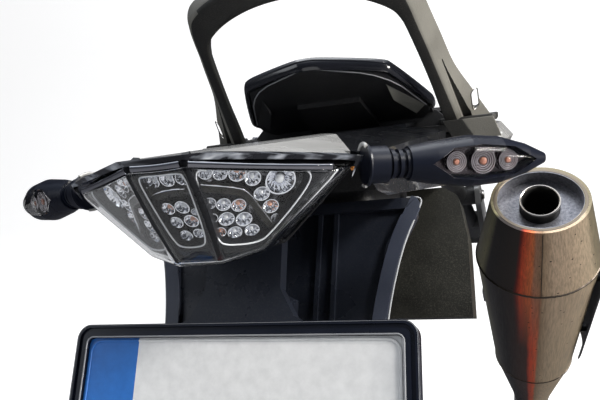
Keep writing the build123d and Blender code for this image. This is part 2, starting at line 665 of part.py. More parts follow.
# Grab hoop: a bowed bar and two widening arms on feet that bolt to the subframe's pads
HOOP = Plane(
    origin=at(0, HOOP_T, HOOP_Z),
    x_dir=(1, 0, 0),
    z_dir=(0, sin(radians(HOOP_SLOPE)), cos(radians(HOOP_SLOPE))),
)
HOOP_DOWN = Vector(0, cos(radians(HOOP_SLOPE)), -sin(radians(HOOP_SLOPE)))
with BuildPart() as grab_hoop:
    with BuildSketch(HOOP):
        with BuildLine():
            ThreePointArc(
                (-HOOP_CORNER_X, HOOP_CORNER_B),
                (0, HOOP_CORNER_B - HOOP_BOW),
                (HOOP_CORNER_X, HOOP_CORNER_B),
            )
            Polyline((HOOP_CORNER_X, HOOP_CORNER_B), (HOOP_OUT_X, HOOP_CORNER_B), (HOOP_OUT_X, HOOP_OUT_B))
            ThreePointArc(
                (HOOP_OUT_X, HOOP_OUT_B),
                (0, HOOP_CORNER_B - HOOP_BOW - HOOP_BAND),
                (-HOOP_OUT_X, HOOP_OUT_B),
            )
            Polyline((-HOOP_OUT_X, HOOP_OUT_B), (-HOOP_OUT_X, HOOP_CORNER_B), (-HOOP_CORNER_X, HOOP_CORNER_B))
        make_face()
    extrude(amount=HOOP_THICK)
    bar_edges = grab_hoop.edges().filter_by(GeomType.CIRCLE)
    chamfer(bar_edges, length=HOOP_CHAMFER)
    for side, hand in SIDES:
        with BuildSketch(HOOP):
            with BuildLine():
                Polyline(
                    (hand * (HOOP_CORNER_X - HOOP_GUSSET), HOOP_CORNER_B - HOOP_GUSSET),
                    (hand * (HOOP_CORNER_X - HOOP_GUSSET), HOOP_CORNER_B - HOOP_GUSSET / 2),
                    (hand * HOOP_CORNER_X, HOOP_CORNER_B + HOOP_GUSSET / 2),
                    (hand * (HOOP_CORNER_X + HOOP_GUSSET / 2), HOOP_CORNER_B + HOOP_GUSSET),
                    (hand * (HOOP_CORNER_X + HOOP_GUSSET / 2), HOOP_CORNER_B - HOOP_GUSSET),
                    close=True,
                )
            make_face()
        extrude(amount=ARM_TOP_C)
    for side, hand in SIDES:
        for b, in_x, low_x, top_x in ARM_STATIONS:
            cut = Plane(origin=HOOP.origin + HOOP_DOWN * b, x_dir=(1, 0, 0), z_dir=HOOP_DOWN)
            with BuildSketch(cut):
                with BuildLine():
                    Polyline(
                        (hand * in_x, 0),
                        (hand * (in_x + ARM_SLOPE_X), -HOOP_THICK),
                        (hand * top_x, -ARM_TOP_C),
                        (hand * low_x, -ARM_LOW_C),
                        close=True,
                    )
                make_face()
        loft(ruled=True)
        with BuildSketch(HOOP.offset(WEDGE_FLOOR)):
            with BuildLine():
                Polyline(*[(hand * x, b) for x, b in WEDGE], close=True)
            make_face()
        extrude(amount=-WEDGE_DEEP, mode=Mode.SUBTRACT)
        with BuildSketch(HOOP.offset(-HOOP_THICK)):
            with Locations((hand * STRAP_SLOT_X, STRAP_SLOT_B)):
                SlotOverall(STRAP_SLOT_LONG, STRAP_SLOT_WIDE, rotation=90)
        extrude(amount=2 * HOOP_THICK, mode=Mode.SUBTRACT)
    split(bisect_by=LEVEL.offset(PAD_TOP_Z), keep=Keep.TOP)
    for side, hand in SIDES:
        with BuildSketch(LEVEL.offset(PAD_TOP_Z)):
            with Locations((hand * (FOOT_IN_X + FOOT_OUT_X) / 2, FOOT_T)):
                RectangleRounded(FOOT_OUT_X - FOOT_IN_X, FOOT_LONG, CORNER_R)
        extrude(amount=FOOT_THICK)
grab_hoop.part.label = "grab_hoop"
export_step(grab_hoop.part, "parts/grab_hoop.step")

# Side covers: folded skins below the seat, pegged to the rails
for side, hand in SIDES:
    with BuildPart() as side_cover:
        for t, foot_x, foot_z, low_x, low_z, belly_x, belly_z, top_x, top_z, lip_x in COVER_STATIONS:
            outer = [(foot_x, foot_z), (low_x, low_z), (belly_x, belly_z), (top_x, top_z), (lip_x, top_z)]
            ring = outer + beside(outer, SKIN)[::-1]
            with BuildSketch(REAR.offset(-t)):
                with BuildLine():
                    Polyline(*[(hand * x, z) for x, z in ring], close=True)
                make_face()
        loft(ruled=True)
        for back in PEG_BACKS:
            x, z = rail(REAR_REACH - back)
            rows = COVER_STATIONS[:2] if REAR_REACH - back < COVER_STATIONS[1][0] else COVER_STATIONS[1:]
            low = between(REAR_REACH - back, *rows)
            wall_x = min(low[5], low[3] + (z - low[4]) / (low[6] - low[4]) * (low[5] - low[3]))
            root_x = max(x, rail(REAR_REACH - back + PEG_R)[0]) + TUBE_D / 2 + CLEAR
            with BuildSketch(SIDE.offset(hand * root_x)):
                with Locations((REAR_REACH - back, z)):
                    Circle(PEG_R)
            extrude(amount=hand * (wall_x - SKIN / 2 - root_x))
    side_cover.part.label = f"side_cover_{side}"
    export_step(side_cover.part, f"parts/side_cover_{side}.step")

# Indicators: a ringed stem, a leaf-shaped body with a pocket, optics in it and a clear lens
for side, hand in SIDES:
    root = Vector(*at(hand * STEM_ROOT[0], *STEM_ROOT[1:]))
    tip = Vector(*at(hand * TIP[0], *TIP[1:]))
    axis = (tip - root).normalized()
    leaf_s = STEM_LONG + BELLOWS_PITCH * BELLOWS_RINGS
    rearward = Vector(0, -1, 0)
    rearward = (rearward - axis * axis.dot(rearward)).normalized()
    start = root + axis * leaf_s
    stem_plane = Plane(origin=root, x_dir=rearward, z_dir=axis)
    profile_plane = Plane(origin=start, x_dir=axis, z_dir=axis.cross(rearward))
    lens_plane = Plane(origin=start + axis * LENS_START, x_dir=axis, z_dir=rearward)

    with BuildPart() as stem:
        with BuildSketch(stem_plane):
            Circle(STEM_R)
        extrude(amount=STEM_LONG)
        with BuildSketch(stem_plane.offset(STEM_LONG)):
            Circle(BELLOWS_R - BELLOWS_GROOVE)
        extrude(amount=BELLOWS_PITCH * BELLOWS_RINGS)
        for ring_at in range(BELLOWS_RINGS):
            with BuildSketch(stem_plane.offset(STEM_LONG + BELLOWS_PITCH * ring_at + BELLOWS_PITCH / 2)):
                Circle(BELLOWS_R)
            extrude(amount=BELLOWS_PITCH / 2)
    stem.part.label = f"indicator_stem_{side}"
    export_step(stem.part, f"parts/indicator_stem_{side}.step")

    for piece in ("body", "lens", "optics"):
        pocket_gap = CLEAR if piece != "body" else 0
        with BuildPart() as leaf:
            shell = LENS_SHELL if piece == "optics" else 0
            profile = [(s, r - shell) for s, r in LEAF_PROFILE]
            with BuildSketch(profile_plane):
                with BuildLine():
                    Polyline((profile[0][0], 0), *profile, (profile[-1][0], 0), close=True)
                make_face()
            revolve(axis=Axis(start, axis))
        with BuildPart() as pocket:
            half = LENS_OUTLINE[1:-1]
            mirrored = [(s, -h) for s, h in reversed(half)]
            outline = [LENS_OUTLINE[0], *half, LENS_OUTLINE[-1], *mirrored]
            with BuildSketch(lens_plane.offset(-LENS_SINK + pocket_gap)):
                with BuildLine():
                    Polyline(*outline, close=True)
                make_face()
                if pocket_gap:
                    offset(amount=-pocket_gap, kind=Kind.INTERSECTION)
            extrude(amount=2 * STEM_LONG + LENS_SINK)
        if piece == "body":
            with BuildPart() as leaf_piece:
                add(leaf.part)
                add(pocket.part, mode=Mode.SUBTRACT)
        elif piece == "lens":
            with BuildPart() as inner_leaf:
                with BuildSketch(profile_plane):
                    with BuildLine():
                        inner = [(s, r - LENS_SHELL) for s, r in LEAF_PROFILE]
                        Polyline((inner[0][0], 0), *inner, (inner[-1][0], 0), close=True)
                    make_face()
                revolve(axis=Axis(start, axis))
            with BuildPart() as leaf_piece:
                add(leaf.part)
                add(pocket.part, mode=Mode.INTERSECT)
                add(inner_leaf.part, mode=Mode.SUBTRACT)
        else:
            with BuildPart() as leaf_piece:
                with BuildSketch(lens_plane.offset(-LENS_SINK + pocket_gap)):
                    with BuildLine():
                        Polyline(*outline, close=True)
                    make_face()
                    offset(amount=-OPTIC_TALL / 2, kind=Kind.INTERSECTION)
                extrude(amount=OPTIC_BASE)
                with BuildSketch(lens_plane.offset(-LENS_SINK + pocket_gap + OPTIC_BASE)):
                    with Locations(*[(s, 0) for s in OPTIC_STATIONS]):
                        Circle(OPTIC_R)
                        Circle(OPTIC_R / 2, mode=Mode.SUBTRACT)
                extrude(amount=OPTIC_TALL)
        leaf_piece.part.label = f"indicator_{piece}_{side}"
        export_step(leaf_piece.part, f"parts/indicator_{piece}_{side}.step")

# Number plate in its frame
PLATE = leaning(0, 0, PLATE_LEAN)
with BuildPart() as plate_frame:
    with BuildSketch(PLATE.offset(-FRAME_T)):
        with Locations((0, -FRAME_H / 2)):
            RectangleRounded(FRAME_W, FRAME_H, FRAME_CORNER_R)
    extrude(amount=FRAME_T)
    with BuildSketch(PLATE):
        with Locations((0, -FRAME_H / 2)):
            RectangleRounded(PLATE_W, PLATE_H, PLATE_SINK)
    extrude(amount=-PLATE_SINK, mode=Mode.SUBTRACT)
    with BuildSketch(PLATE):
        with Locations((0, -FRAME_H / 2)):
            groove = 2 * FRAME_RIM + 2 * FRAME_GROOVE
            RectangleRounded(FRAME_W - 2 * FRAME_RIM, FRAME_H - 2 * FRAME_RIM, FRAME_CORNER_R - FRAME_RIM)
            RectangleRounded(FRAME_W - groove, FRAME_H - groove, PLATE_SINK, mode=Mode.SUBTRACT)
    extrude(amount=-FRAME_GROOVE_DEEP, mode=Mode.SUBTRACT)
plate_frame.part.label = "plate_frame"
export_step(plate_frame.part, "parts/plate_frame.step")

with BuildPart() as plate:
    with BuildSketch(PLATE.offset(-PLATE_SINK)):
        with Locations((0, -FRAME_H / 2)):
            RectangleRounded(PLATE_W - 2 * PLATE_FIT, PLATE_H - 2 * PLATE_FIT, PLATE_SINK)
    extrude(amount=PLATE_T)
plate.part.label = "number_plate"
export_step(plate.part, "parts/number_plate.step")

# Rear reflector, below the plate's frame
with BuildPart() as rear_reflector:
    with BuildSketch(PLATE.offset(-FRAME_T)):
        with Locations((0, -FRAME_H - REFLECTOR_GAP - REFLECTOR_H / 2)):
            RectangleRounded(REFLECTOR_W, REFLECTOR_H, CORNER_R / 2)
    extrude(amount=REFLECTOR_T)
rear_reflector.part.label = "rear_reflector"
export_step(rear_reflector.part, "parts/rear_reflector.step")

GUARD = leaning(GUARD_T, GUARD_Z, GUARD_LEAN)
# Plate hanger: the spine under the lamp that flares out to the plate
with BuildPart() as plate_hanger:
    with BuildSketch(PLATE.offset(-FRAME_T - HANGER_THICK)):
        with BuildLine():
            Polyline(*both_halves(HANGER_OUTLINE), close=True)
        make_face()
    extrude(amount=HANGER_THICK)
    with BuildSketch(PLATE.offset(-FRAME_T - HANGER_THICK)):
        with Locations((0, WEB_UP)):
            Rectangle(2 * WEB_HALF, WEB_TALL)
    extrude(amount=-WEB_LONG)
    split(bisect_by=GUARD.offset(-GUARD_SINK), keep=Keep.TOP)
    split(bisect_by=LEVEL.offset(LAMP_CHIN_Z - FOOT_BLOCK_DROP), keep=Keep.BOTTOM)
plate_hanger.part.label = "plate_hanger"
export_step(plate_hanger.part, "parts/plate_hanger.step")

# Rear mudguard: a broad leaning panel with a thick rim and four ribs
with BuildPart() as guard_inner:
    with BuildSketch(GUARD):
        with BuildLine():
            Polyline(*both_halves(GUARD_OUTLINE), close=True)
        make_face()
        offset(amount=-GUARD_RIM, kind=Kind.INTERSECTION)
    extrude(amount=-GUARD_DEEP)
with BuildPart() as rear_mudguard:
    with BuildSketch(GUARD):
        with BuildLine():
            Polyline(*both_halves(GUARD_OUTLINE), close=True)
        top_corners = make_face().vertices().sort_by(Axis.Y)[-2:]
        fillet(top_corners, radius=GUARD_CORNER_R)
    extrude(amount=-GUARD_DEEP)
    add(guard_inner.part, mode=Mode.SUBTRACT)
    with BuildSketch(GUARD.offset(-GUARD_SINK)):
        with BuildLine():
            Polyline(*both_halves(GUARD_OUTLINE), close=True)
        make_face()
        offset(amount=-GUARD_RIM / 2, kind=Kind.INTERSECTION)
    extrude(amount=-GUARD_FLOOR)
    low_u = GUARD_OUTLINE[0][1]
    high_u = GUARD_OUTLINE[-1][1]
    for side, hand in SIDES:
        with BuildSketch(GUARD.offset(-GUARD_SINK)):
            with Locations(*[(hand * x, (low_u + high_u) / 2) for x in GUARD_RIBS]):
                Rectangle(GUARD_RIB_WIDE, high_u - low_u - GUARD_RIM)
        extrude(amount=GUARD_SINK - GUARD_RIB_SINK)
rear_mudguard.part.label = "rear_mudguard"
export_step(rear_mudguard.part, "parts/rear_mudguard.step")

# Inner mudguard: a broad panel behind the wheel with a deep rim, hung from the undertray
ARCH = leaning(ARCH_T, 0, ARCH_LEAN)
notch_z = TRAY_FLOOR_Z - ARCH_NOTCH_GAP
notch_x = ARCH_OUTLINE[-1][0]
with BuildPart() as inner_mudguard:
    with BuildSketch(ARCH):
        with BuildLine():
            Polyline(*both_halves(ARCH_OUTLINE), close=True)
        side_corners = make_face().vertices().sort_by(Axis.Y)[2:6]
        fillet(side_corners, radius=ARCH_CORNER_R)
    extrude(amount=-ARCH_DEEP)
    with BuildSketch(LEVEL.offset(notch_z)):
        with Locations((0, ARCH_T)):
            Rectangle(2 * notch_x, 4 * ARCH_DEEP)
    extrude(amount=PLATE_DROP, mode=Mode.SUBTRACT)
    front = inner_mudguard.faces().filter_by(ARCH).sort_by(Axis.Y)[-1]
    offset(amount=-SKIN, openings=front)
    with BuildSketch(LEVEL.offset(notch_z - SKIN)):
        with Locations((0, ARCH_T + ARCH_BLOCK_LONG)):
            Rectangle(2 * ARCH_BLOCK_HALF, ARCH_BLOCK_LONG)
    extrude(amount=TRAY_FLOOR_Z - notch_z + SKIN)
inner_mudguard.part.label = "inner_mudguard"
export_step(inner_mudguard.part, "parts/inner_mudguard.step")

# Silencer: its axis falls forward and leans a little towards the middle
PIPE_AXIS = Vector(
    -sin(radians(PIPE_INWARD)),
    cos(radians(PIPE_INWARD)) * cos(radians(PIPE_SLOPE)),
    -cos(radians(PIPE_INWARD)) * sin(radians(PIPE_SLOPE)),
)
PIPE_ACROSS = Vector(cos(radians(PIPE_INWARD)), 0, 0) + PIPE_AXIS * sin(radians(PIPE_INWARD))
PIPE = Plane(origin=at(PIPE_X, PIPE_T, PIPE_Z), x_dir=PIPE_ACROSS, z_dir=PIPE_AXIS)


def shell_size(s):
    """Half width and half height of the silencer's tapering body at s."""
    return between(s, SHELL_STATIONS[1], SHELL_STATIONS[2])[1:]


with BuildPart() as silencer_body:
    for s, half_w, half_h in SHELL_STATIONS[1:]:
        with BuildSketch(PIPE.offset(s)):
            Ellipse(half_w, half_h)
    loft(ruled=True)
silencer_body.part.label = "silencer_body"
export_step(silencer_body.part, "parts/silencer_body.step")

with BuildPart() as silencer_end_cap:
    for s, half_w, half_h in SHELL_STATIONS[:2]:
        with BuildSketch(PIPE.offset(s)):
            Ellipse(half_w, half_h)
    loft(ruled=True)
    with BuildSketch(PIPE):
        Ellipse(SHELL_STATIONS[0][1] - DISH_RIM, SHELL_STATIONS[0][2] - DISH_RIM)
    extrude(amount=DISH_DEEP, mode=Mode.SUBTRACT)
    with BuildSketch(PIPE):
        Circle(OUTLET_R + CLEAR)
    extrude(amount=OUTLET_START + OUTLET_LONG, mode=Mode.SUBTRACT)
silencer_end_cap.part.label = "silencer_end_cap"
export_step(silencer_end_cap.part, "parts/silencer_end_cap.step")

with BuildPart() as silencer_outlet:
    with BuildSketch(PIPE.offset(OUTLET_START)):
        Circle(OUTLET_R)
        Circle(OUTLET_R - OUTLET_WALL, mode=Mode.SUBTRACT)
    extrude(amount=OUTLET_LONG)
silencer_outlet.part.label = "silencer_outlet"
export_step(silencer_outlet.part, "parts/silencer_outlet.step")

with BuildPart() as silencer_inlet:
    with BuildSketch(PIPE.offset(SHELL_STATIONS[-1][0])):
        Circle(INLET_R)
        Circle(INLET_R - INLET_WALL, mode=Mode.SUBTRACT)
    extrude(amount=INLET_LONG)
silencer_inlet.part.label = "silencer_inlet"
export_step(silencer_inlet.part, "parts/silencer_inlet.step")

# Silencer clamp: a half band on the body's front with an ear that meets the right footrest bracket
clamp_ends = (CLAMP_S - CLAMP_WIDE / 2, CLAMP_S + CLAMP_WIDE / 2)
with BuildPart() as clamp_hole:
    for s in (clamp_ends[0] - CLAMP_END, clamp_ends[1] + CLAMP_END):
        half_w, half_h = shell_size(s)
        with BuildSketch(PIPE.offset(s)):
            Ellipse(half_w + CLEAR, half_h + CLEAR)
    loft(ruled=True)
ear_at = PIPE.offset(CLAMP_S).origin
ear_t = ear_at.Y + REAR_REACH + CLAMP_EAR_UP * sin(radians(PIPE_SLOPE))
ear_z = ear_at.Z + PLATE_DROP + CLAMP_EAR_UP * cos(radians(PIPE_SLOPE))
with BuildPart() as silencer_clamp:
    for s in clamp_ends:
        half_w, half_h = shell_size(s)
        with BuildSketch(PIPE.offset(s)):
            Ellipse(half_w + CLEAR + CLAMP_THICK, half_h + CLEAR + CLAMP_THICK)
    loft(ruled=True)
    with BuildSketch(SIDE.offset(BRACKET_X + BRACKET_THICK)):
        with Locations((ear_t, ear_z)):
            Circle(CLAMP_EAR_R)
    extrude(amount=CLAMP_EAR_THICK)
    add(clamp_hole.part, mode=Mode.SUBTRACT)
    split(bisect_by=Plane(origin=ear_at, z_dir=-PIPE.y_dir), keep=Keep.TOP)
silencer_clamp.part.label = "silencer_clamp"
export_step(silencer_clamp.part, "parts/silencer_clamp.step")

# Heat shield: a curved strip that stands off the silencer's outer side on two studs
shield_ends = (SHIELD_SPAN[0] - SHIELD_END, SHIELD_SPAN[1] + SHIELD_END)
with BuildPart() as shield_core:
    for s in shield_ends:
        half_w, half_h = shell_size(s)
        with BuildSketch(PIPE.offset(s)):
            Ellipse(half_w + SHIELD_GAP, half_h + SHIELD_GAP)
    loft(ruled=True)
with BuildPart() as stud_core:
    for s in shield_ends:
        half_w, half_h = shell_size(s)
        with BuildSketch(PIPE.offset(s)):
            Ellipse(half_w + CLEAR, half_h + CLEAR)
    loft(ruled=True)
with BuildPart() as heat_shield:
    for s in SHIELD_SPAN:
        half_w, half_h = shell_size(s)
        with BuildSketch(PIPE.offset(s)):
            Ellipse(half_w + SHIELD_GAP + SHIELD_THICK, half_h + SHIELD_GAP + SHIELD_THICK)
    loft(ruled=True)
    add(shield_core.part, mode=Mode.SUBTRACT)
    with BuildSketch(PIPE.offset(shield_ends[0])):
        with Locations((SHELL_STATIONS[1][1], 0)):
            Rectangle(SHELL_STATIONS[1][1], 2 * SHIELD_HALF)
    extrude(amount=shield_ends[1] - shield_ends[0], mode=Mode.INTERSECT)
    for s in SHIELD_STUDS:
        half_w, half_h = shell_size(s)
        stud_plane = Plane(origin=PIPE.offset(s).origin, x_dir=PIPE_AXIS, z_dir=PIPE_ACROSS)
        with BuildSketch(stud_plane.offset(half_w - STUD_ROOT)):
            Circle(STUD_R)
        extrude(amount=STUD_ROOT + SHIELD_GAP + SHIELD_THICK / 2)
    add(stud_core.part, mode=Mode.SUBTRACT)
heat_shield.part.label = "heat_shield"
export_step(heat_shield.part, "parts/heat_shield.step")

# Footrest brackets, pins, footrests and rubbers
half_clevis = TONGUE_WIDE / 2 + EAR_GAP + EAR_THICK
for side, hand in SIDES:
    with BuildPart() as bracket:
        with BuildSketch(SIDE.offset(hand * BRACKET_X)):
            with BuildLine():
                Polyline(*[(REAR_REACH - back, z) for back, z in BRACKET_OUTLINE], close=True)
            corners = make_face().vertices()
            fillet(corners, radius=BRACKET_CORNER_R)
        extrude(amount=hand * BRACKET_THICK)
        for ear in (-1, 1):
            ear_y = FOOTREST_T + ear * (half_clevis - EAR_THICK / 2)
            with BuildSketch(REAR.offset(-ear_y - EAR_THICK / 2)):
                with Locations((hand * FOOTREST_X, FOOTREST_Z)):
                    Circle(TONGUE_R)
                with Locations((hand * (BRACKET_X + FOOTREST_X) / 2, FOOTREST_Z)):
                    Rectangle(FOOTREST_X - BRACKET_X, 2 * TONGUE_R)
            extrude(amount=EAR_THICK)
        with BuildSketch(REAR.offset(-FOOTREST_T - HOLE_RUN)):
            with Locations((hand * FOOTREST_X, FOOTREST_Z)):
                Circle(PIN_R + PIN_FIT)
        extrude(amount=2 * HOLE_RUN, mode=Mode.SUBTRACT)
    bracket.part.label = f"footrest_bracket_{side}"
    export_step(bracket.part, f"parts/footrest_bracket_{side}.step")

    with BuildPart() as pin:
        with BuildSketch(REAR.offset(-FOOTREST_T - half_clevis - PIN_OUT)):
            with Locations((hand * FOOTREST_X, FOOTREST_Z)):
                Circle(PIN_R)
        extrude(amount=2 * half_clevis + 2 * PIN_OUT)
    pin.part.label = f"footrest_pin_{side}"
    export_step(pin.part, f"parts/footrest_pin_{side}.step")

    with BuildPart() as footrest:
        with BuildSketch(REAR.offset(-FOOTREST_T - TONGUE_WIDE / 2)):
            with Locations((hand * FOOTREST_X, FOOTREST_Z)):
                Circle(TONGUE_R)
            with Locations((hand * (FOOTREST_X + TONGUE_R), FOOTREST_Z)):
                Rectangle(2 * TONGUE_R, 2 * TONGUE_R)
        extrude(amount=TONGUE_WIDE)
        with BuildSketch(SIDE.offset(hand * (FOOTREST_X + BAR_START))):
            with Locations((FOOTREST_T, FOOTREST_Z)):
                Circle(BAR_R)
        extrude(amount=hand * (FOOTREST_LONG - BAR_START))
        with BuildSketch(REAR.offset(-FOOTREST_T - HOLE_RUN)):
            with Locations((hand * FOOTREST_X, FOOTREST_Z)):
                Circle(PIN_R + PIN_FIT)
        extrude(amount=2 * HOLE_RUN, mode=Mode.SUBTRACT)
    footrest.part.label = f"footrest_{side}"
    export_step(footrest.part, f"parts/footrest_{side}.step")

    with BuildPart() as rubber:
        with BuildSketch(SIDE.offset(hand * (FOOTREST_X + RUBBER_START))):
            with Locations((FOOTREST_T, FOOTREST_Z)):
                Circle(RUBBER_R)
                Circle(BAR_R + CLEAR / 3, mode=Mode.SUBTRACT)
        extrude(amount=hand * (FOOTREST_LONG - RUBBER_START - RUBBER_END_GAP))
    rubber.part.label = f"footrest_rubber_{side}"
    export_step(rubber.part, f"parts/footrest_rubber_{side}.step")
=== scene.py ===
import bpy
import bmesh
import random
from math import cos, pi, radians, sin, tan
from mathutils import Matrix, Vector


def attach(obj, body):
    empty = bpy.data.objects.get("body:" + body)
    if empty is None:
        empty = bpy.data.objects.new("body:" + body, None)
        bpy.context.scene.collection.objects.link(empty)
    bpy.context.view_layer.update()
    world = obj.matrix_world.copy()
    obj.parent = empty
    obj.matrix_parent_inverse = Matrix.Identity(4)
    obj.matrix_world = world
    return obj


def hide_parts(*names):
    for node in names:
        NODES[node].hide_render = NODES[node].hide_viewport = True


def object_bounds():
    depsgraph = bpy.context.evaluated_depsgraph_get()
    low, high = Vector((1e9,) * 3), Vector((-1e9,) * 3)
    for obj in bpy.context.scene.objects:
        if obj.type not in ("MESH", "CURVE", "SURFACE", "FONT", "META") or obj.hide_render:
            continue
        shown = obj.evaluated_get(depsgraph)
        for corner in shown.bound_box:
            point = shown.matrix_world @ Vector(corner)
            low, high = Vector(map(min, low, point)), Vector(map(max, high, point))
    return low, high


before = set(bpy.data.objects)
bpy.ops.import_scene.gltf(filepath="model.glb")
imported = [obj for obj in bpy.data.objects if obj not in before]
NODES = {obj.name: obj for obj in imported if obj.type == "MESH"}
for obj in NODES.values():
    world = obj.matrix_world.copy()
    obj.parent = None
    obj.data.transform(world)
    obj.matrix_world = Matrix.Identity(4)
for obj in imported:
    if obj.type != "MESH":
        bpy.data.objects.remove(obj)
cad_low, cad_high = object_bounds()
SIDES = (("left", -1), ("right", 1))  # name, sign of X
MM = 0.001
REACH = 600  # lug axis back to the plate frame's top edge, in mm
DROP = 60  # lug axis down to that edge, in mm


def place(x, t, z):
    """Point in metres from X, t forward of the plate frame's top edge and z above it, in mm."""
    return Vector((x, t - REACH, z - DROP)) * MM


def turn(x_dir, z_dir, origin):
    """Matrix of a frame from its X direction and its Z direction."""
    z_axis = Vector(z_dir).normalized()
    x_axis = (Vector(x_dir) - z_axis * Vector(x_dir).dot(z_axis)).normalized()
    made = Matrix((x_axis, z_axis.cross(x_axis), z_axis)).transposed().to_4x4()
    made.translation = Vector(origin)
    return made


def set_all(thing, **settings):
    for name, value in settings.items():
        setattr(thing, name, value)


# Material helpers
LOOKS = {}  # name of the look: its material and its record slot
DUST = (0.26, 0.24, 0.20)


def shader_of(name, slot=None):
    """Starts a look and gives its main shader."""
    material = bpy.data.materials.new(name)
    material.use_nodes = True
    LOOKS[name] = (material, slot)
    return material.node_tree.nodes["Principled BSDF"]


def feed(target, values):
    """Sets a node's inputs; a value is a number, a vector, an (r, g, b) or another node's output."""
    for key, value in values.items():
        socket = target.inputs[key]
        if isinstance(value, bpy.types.NodeSocket):
            target.id_data.links.new(value, socket)
        else:
            socket.default_value = (*value, 1) if socket.type == "RGBA" else value


def node(neighbour, kind, values, **settings):
    """New node beside a neighbour, with its inputs and its own settings."""
    made = neighbour.id_data.nodes.new("ShaderNode" + kind)
    set_all(made, **settings)
    feed(made, values)
    return made


def calc(kind, first, second=None):
    values = {0: first} if second is None else {0: first, 1: second}
    return node(first, "Math", values, operation=kind).outputs[0]


def object_coordinates(shader, scale=(1, 1, 1)):
    """Object coordinates in metres, stretched by a scale."""
    coordinates = node(shader, "TexCoord", {}).outputs["Object"]
    return node(shader, "Mapping", {"Scale": scale, "Vector": coordinates}).outputs["Vector"]


def split(vector):
    """X, Y and Z of a vector."""
    return node(vector, "SeparateXYZ", {"Vector": vector}).outputs


def noise(vector, scale, detail, rough=0.55):
    values = {"Scale": scale, "Detail": detail, "Roughness": rough, "Vector": vector}
    return node(vector, "TexNoise", values).outputs["Fac"]


def cells(vector, scale, **settings):
    return node(vector, "TexVoronoi", {"Scale": scale, "Vector": vector}, **settings).outputs["Distance"]


def ramp(value, *stops):
    """Colours along a value; each stop is a position with an (r, g, b) or a grey."""
    made = node(value, "ValToRGB", {"Fac": value})
    elements = made.color_ramp.elements
    while len(elements) < len(stops):
        elements.new(0.5)
    for element, (position, colour) in zip(elements, stops):
        element.position = position
        element.color = (*colour, 1) if isinstance(colour, tuple) else (colour, colour, colour, 1)
    return made.outputs["Color"]


def bump(shader, height, strength, distance, under=None):
    values = {"Strength": strength, "Distance": distance, "Height": height}
    if under is not None:
        values["Normal"] = under
    normal = node(shader, "Bump", values).outputs["Normal"]
    feed(shader, {"Normal": normal})
    return normal


def blend(share, first, second):
    """Mixes two colours by a share; each is an output or an (r, g, b)."""
    return node(share, "Mix", {0: share, 6: first, 7: second}, data_type="RGBA").outputs[2]


def paint(shader, tint, rough, metal=0):
    feed(shader, {"Base Color": tint, "Roughness": rough, "Metallic": metal})


def shade(base, amount):
    return tuple(max(0, min(1, c * amount)) for c in base)


def solid(name, slot, base, rough, metal=0, grain=0, grain_mm=0.6, coat=0, mottle=0.15, dust=0,
          rough_vary=0.08, shine=0.5):
    """A surface with soft mottling, a fine grain, uneven roughness and some dust."""
    shader = shader_of(name, slot)
    vector = object_coordinates(shader)
    wide = noise(vector, 22, 5)
    tint = ramp(wide, (0.3, shade(base, 1 - mottle)), (0.7, shade(base, 1 + mottle)))
    if dust:
        speck = ramp(noise(vector, 900, 3, 0.6), (0.48, 0), (0.78, dust))
        patch = ramp(noise(vector, 9, 3), (0.38, 0.12), (0.68, 1))
        tint = blend(calc("MULTIPLY", speck, patch), tint, DUST)
    gloss = ramp(wide, (0.25, max(0.02, rough - rough_vary)), (0.75, min(1, rough + rough_vary)))
    paint(shader, tint, gloss, metal)
    feed(shader, {"Specular IOR Level": shine, "Coat Weight": coat, "Coat Roughness": 0.06})
    if grain:
        bump(shader, noise(vector, 1000 / grain_mm, 2, 0.5), grain, 0.0004)
    return shader


def clear(name, slot, tint, ior, rough=0.015):
    """Clear plastic with a faint uneven surface."""
    shader = shader_of(name, slot)
    paint(shader, tint, rough)
    feed(shader, {"IOR": ior, "Transmission Weight": 1})
    bump(shader, noise(object_coordinates(shader), 45, 2), 0.04, 0.001)


# Looks: name, slot, colour, roughness
PLASTIC = "black_plastic"
CELLS = "chrome_cells"
solid("subframe_paint", "subframe_paint", (0.022, 0.023, 0.025), 0.42, grain=0.25, grain_mm=0.8, dust=0.25)
solid("black_plastic", PLASTIC, (0.018, 0.019, 0.022), 0.46, grain=0.35, grain_mm=0.5, dust=0.18)
solid("dark_panel", PLASTIC, (0.012, 0.015, 0.024), 0.3, grain=0.12, grain_mm=0.5, dust=0.1)
solid("dirty_panel", PLASTIC, (0.012, 0.012, 0.009), 0.5, grain=0.3, grain_mm=1.2, mottle=0.5, dust=0.3)
solid("rim_navy", PLASTIC, (0.035, 0.042, 0.065), 0.4, grain=0.1, grain_mm=0.5, dust=0.1)
solid("ring_grey", PLASTIC, (0.42, 0.43, 0.45), 0.25, coat=0.5, mottle=0.06)
solid("light_edge", PLASTIC, (0.30, 0.31, 0.33), 0.3, coat=0.4, mottle=0.2)
# Light grey of the right seat facet: painted sunlight
solid("facet_painted_sunlight", PLASTIC, (0.16, 0.16, 0.145), 0.5, grain=0.8, grain_mm=1, mottle=0.2)
solid("hoop_metal", "hoop_metal", (0.19, 0.184, 0.163), 0.5, metal=0.2, grain=0.9, grain_mm=0.9, dust=0.2)
# Darker copy of the hoop's metal: painted shade on its underside and inner faces, its feet and its aprons'
# inner part
solid("hoop_painted_shade", "hoop_metal", (0.018, 0.018, 0.017), 0.5, grain=0.9, grain_mm=0.9, dust=0.15)
solid("stem_rubber", "stem_rubber", (0.016, 0.016, 0.018), 0.55, grain=0.2, grain_mm=0.7)
solid("rest_rubber", "rest_rubber", (0.018, 0.018, 0.018), 0.7, grain=0.3, grain_mm=0.9, dust=0.4)
solid("chrome_cells", CELLS, (0.86, 0.87, 0.90), 0.05, metal=1, mottle=0.05, rough_vary=0.03)
solid("lamp_bezel", PLASTIC, (0.004, 0.0045, 0.006), 0.3, shine=0.2)
solid("lamp_divider", PLASTIC, (0.012, 0.011, 0.008), 0.3, shine=0.25)
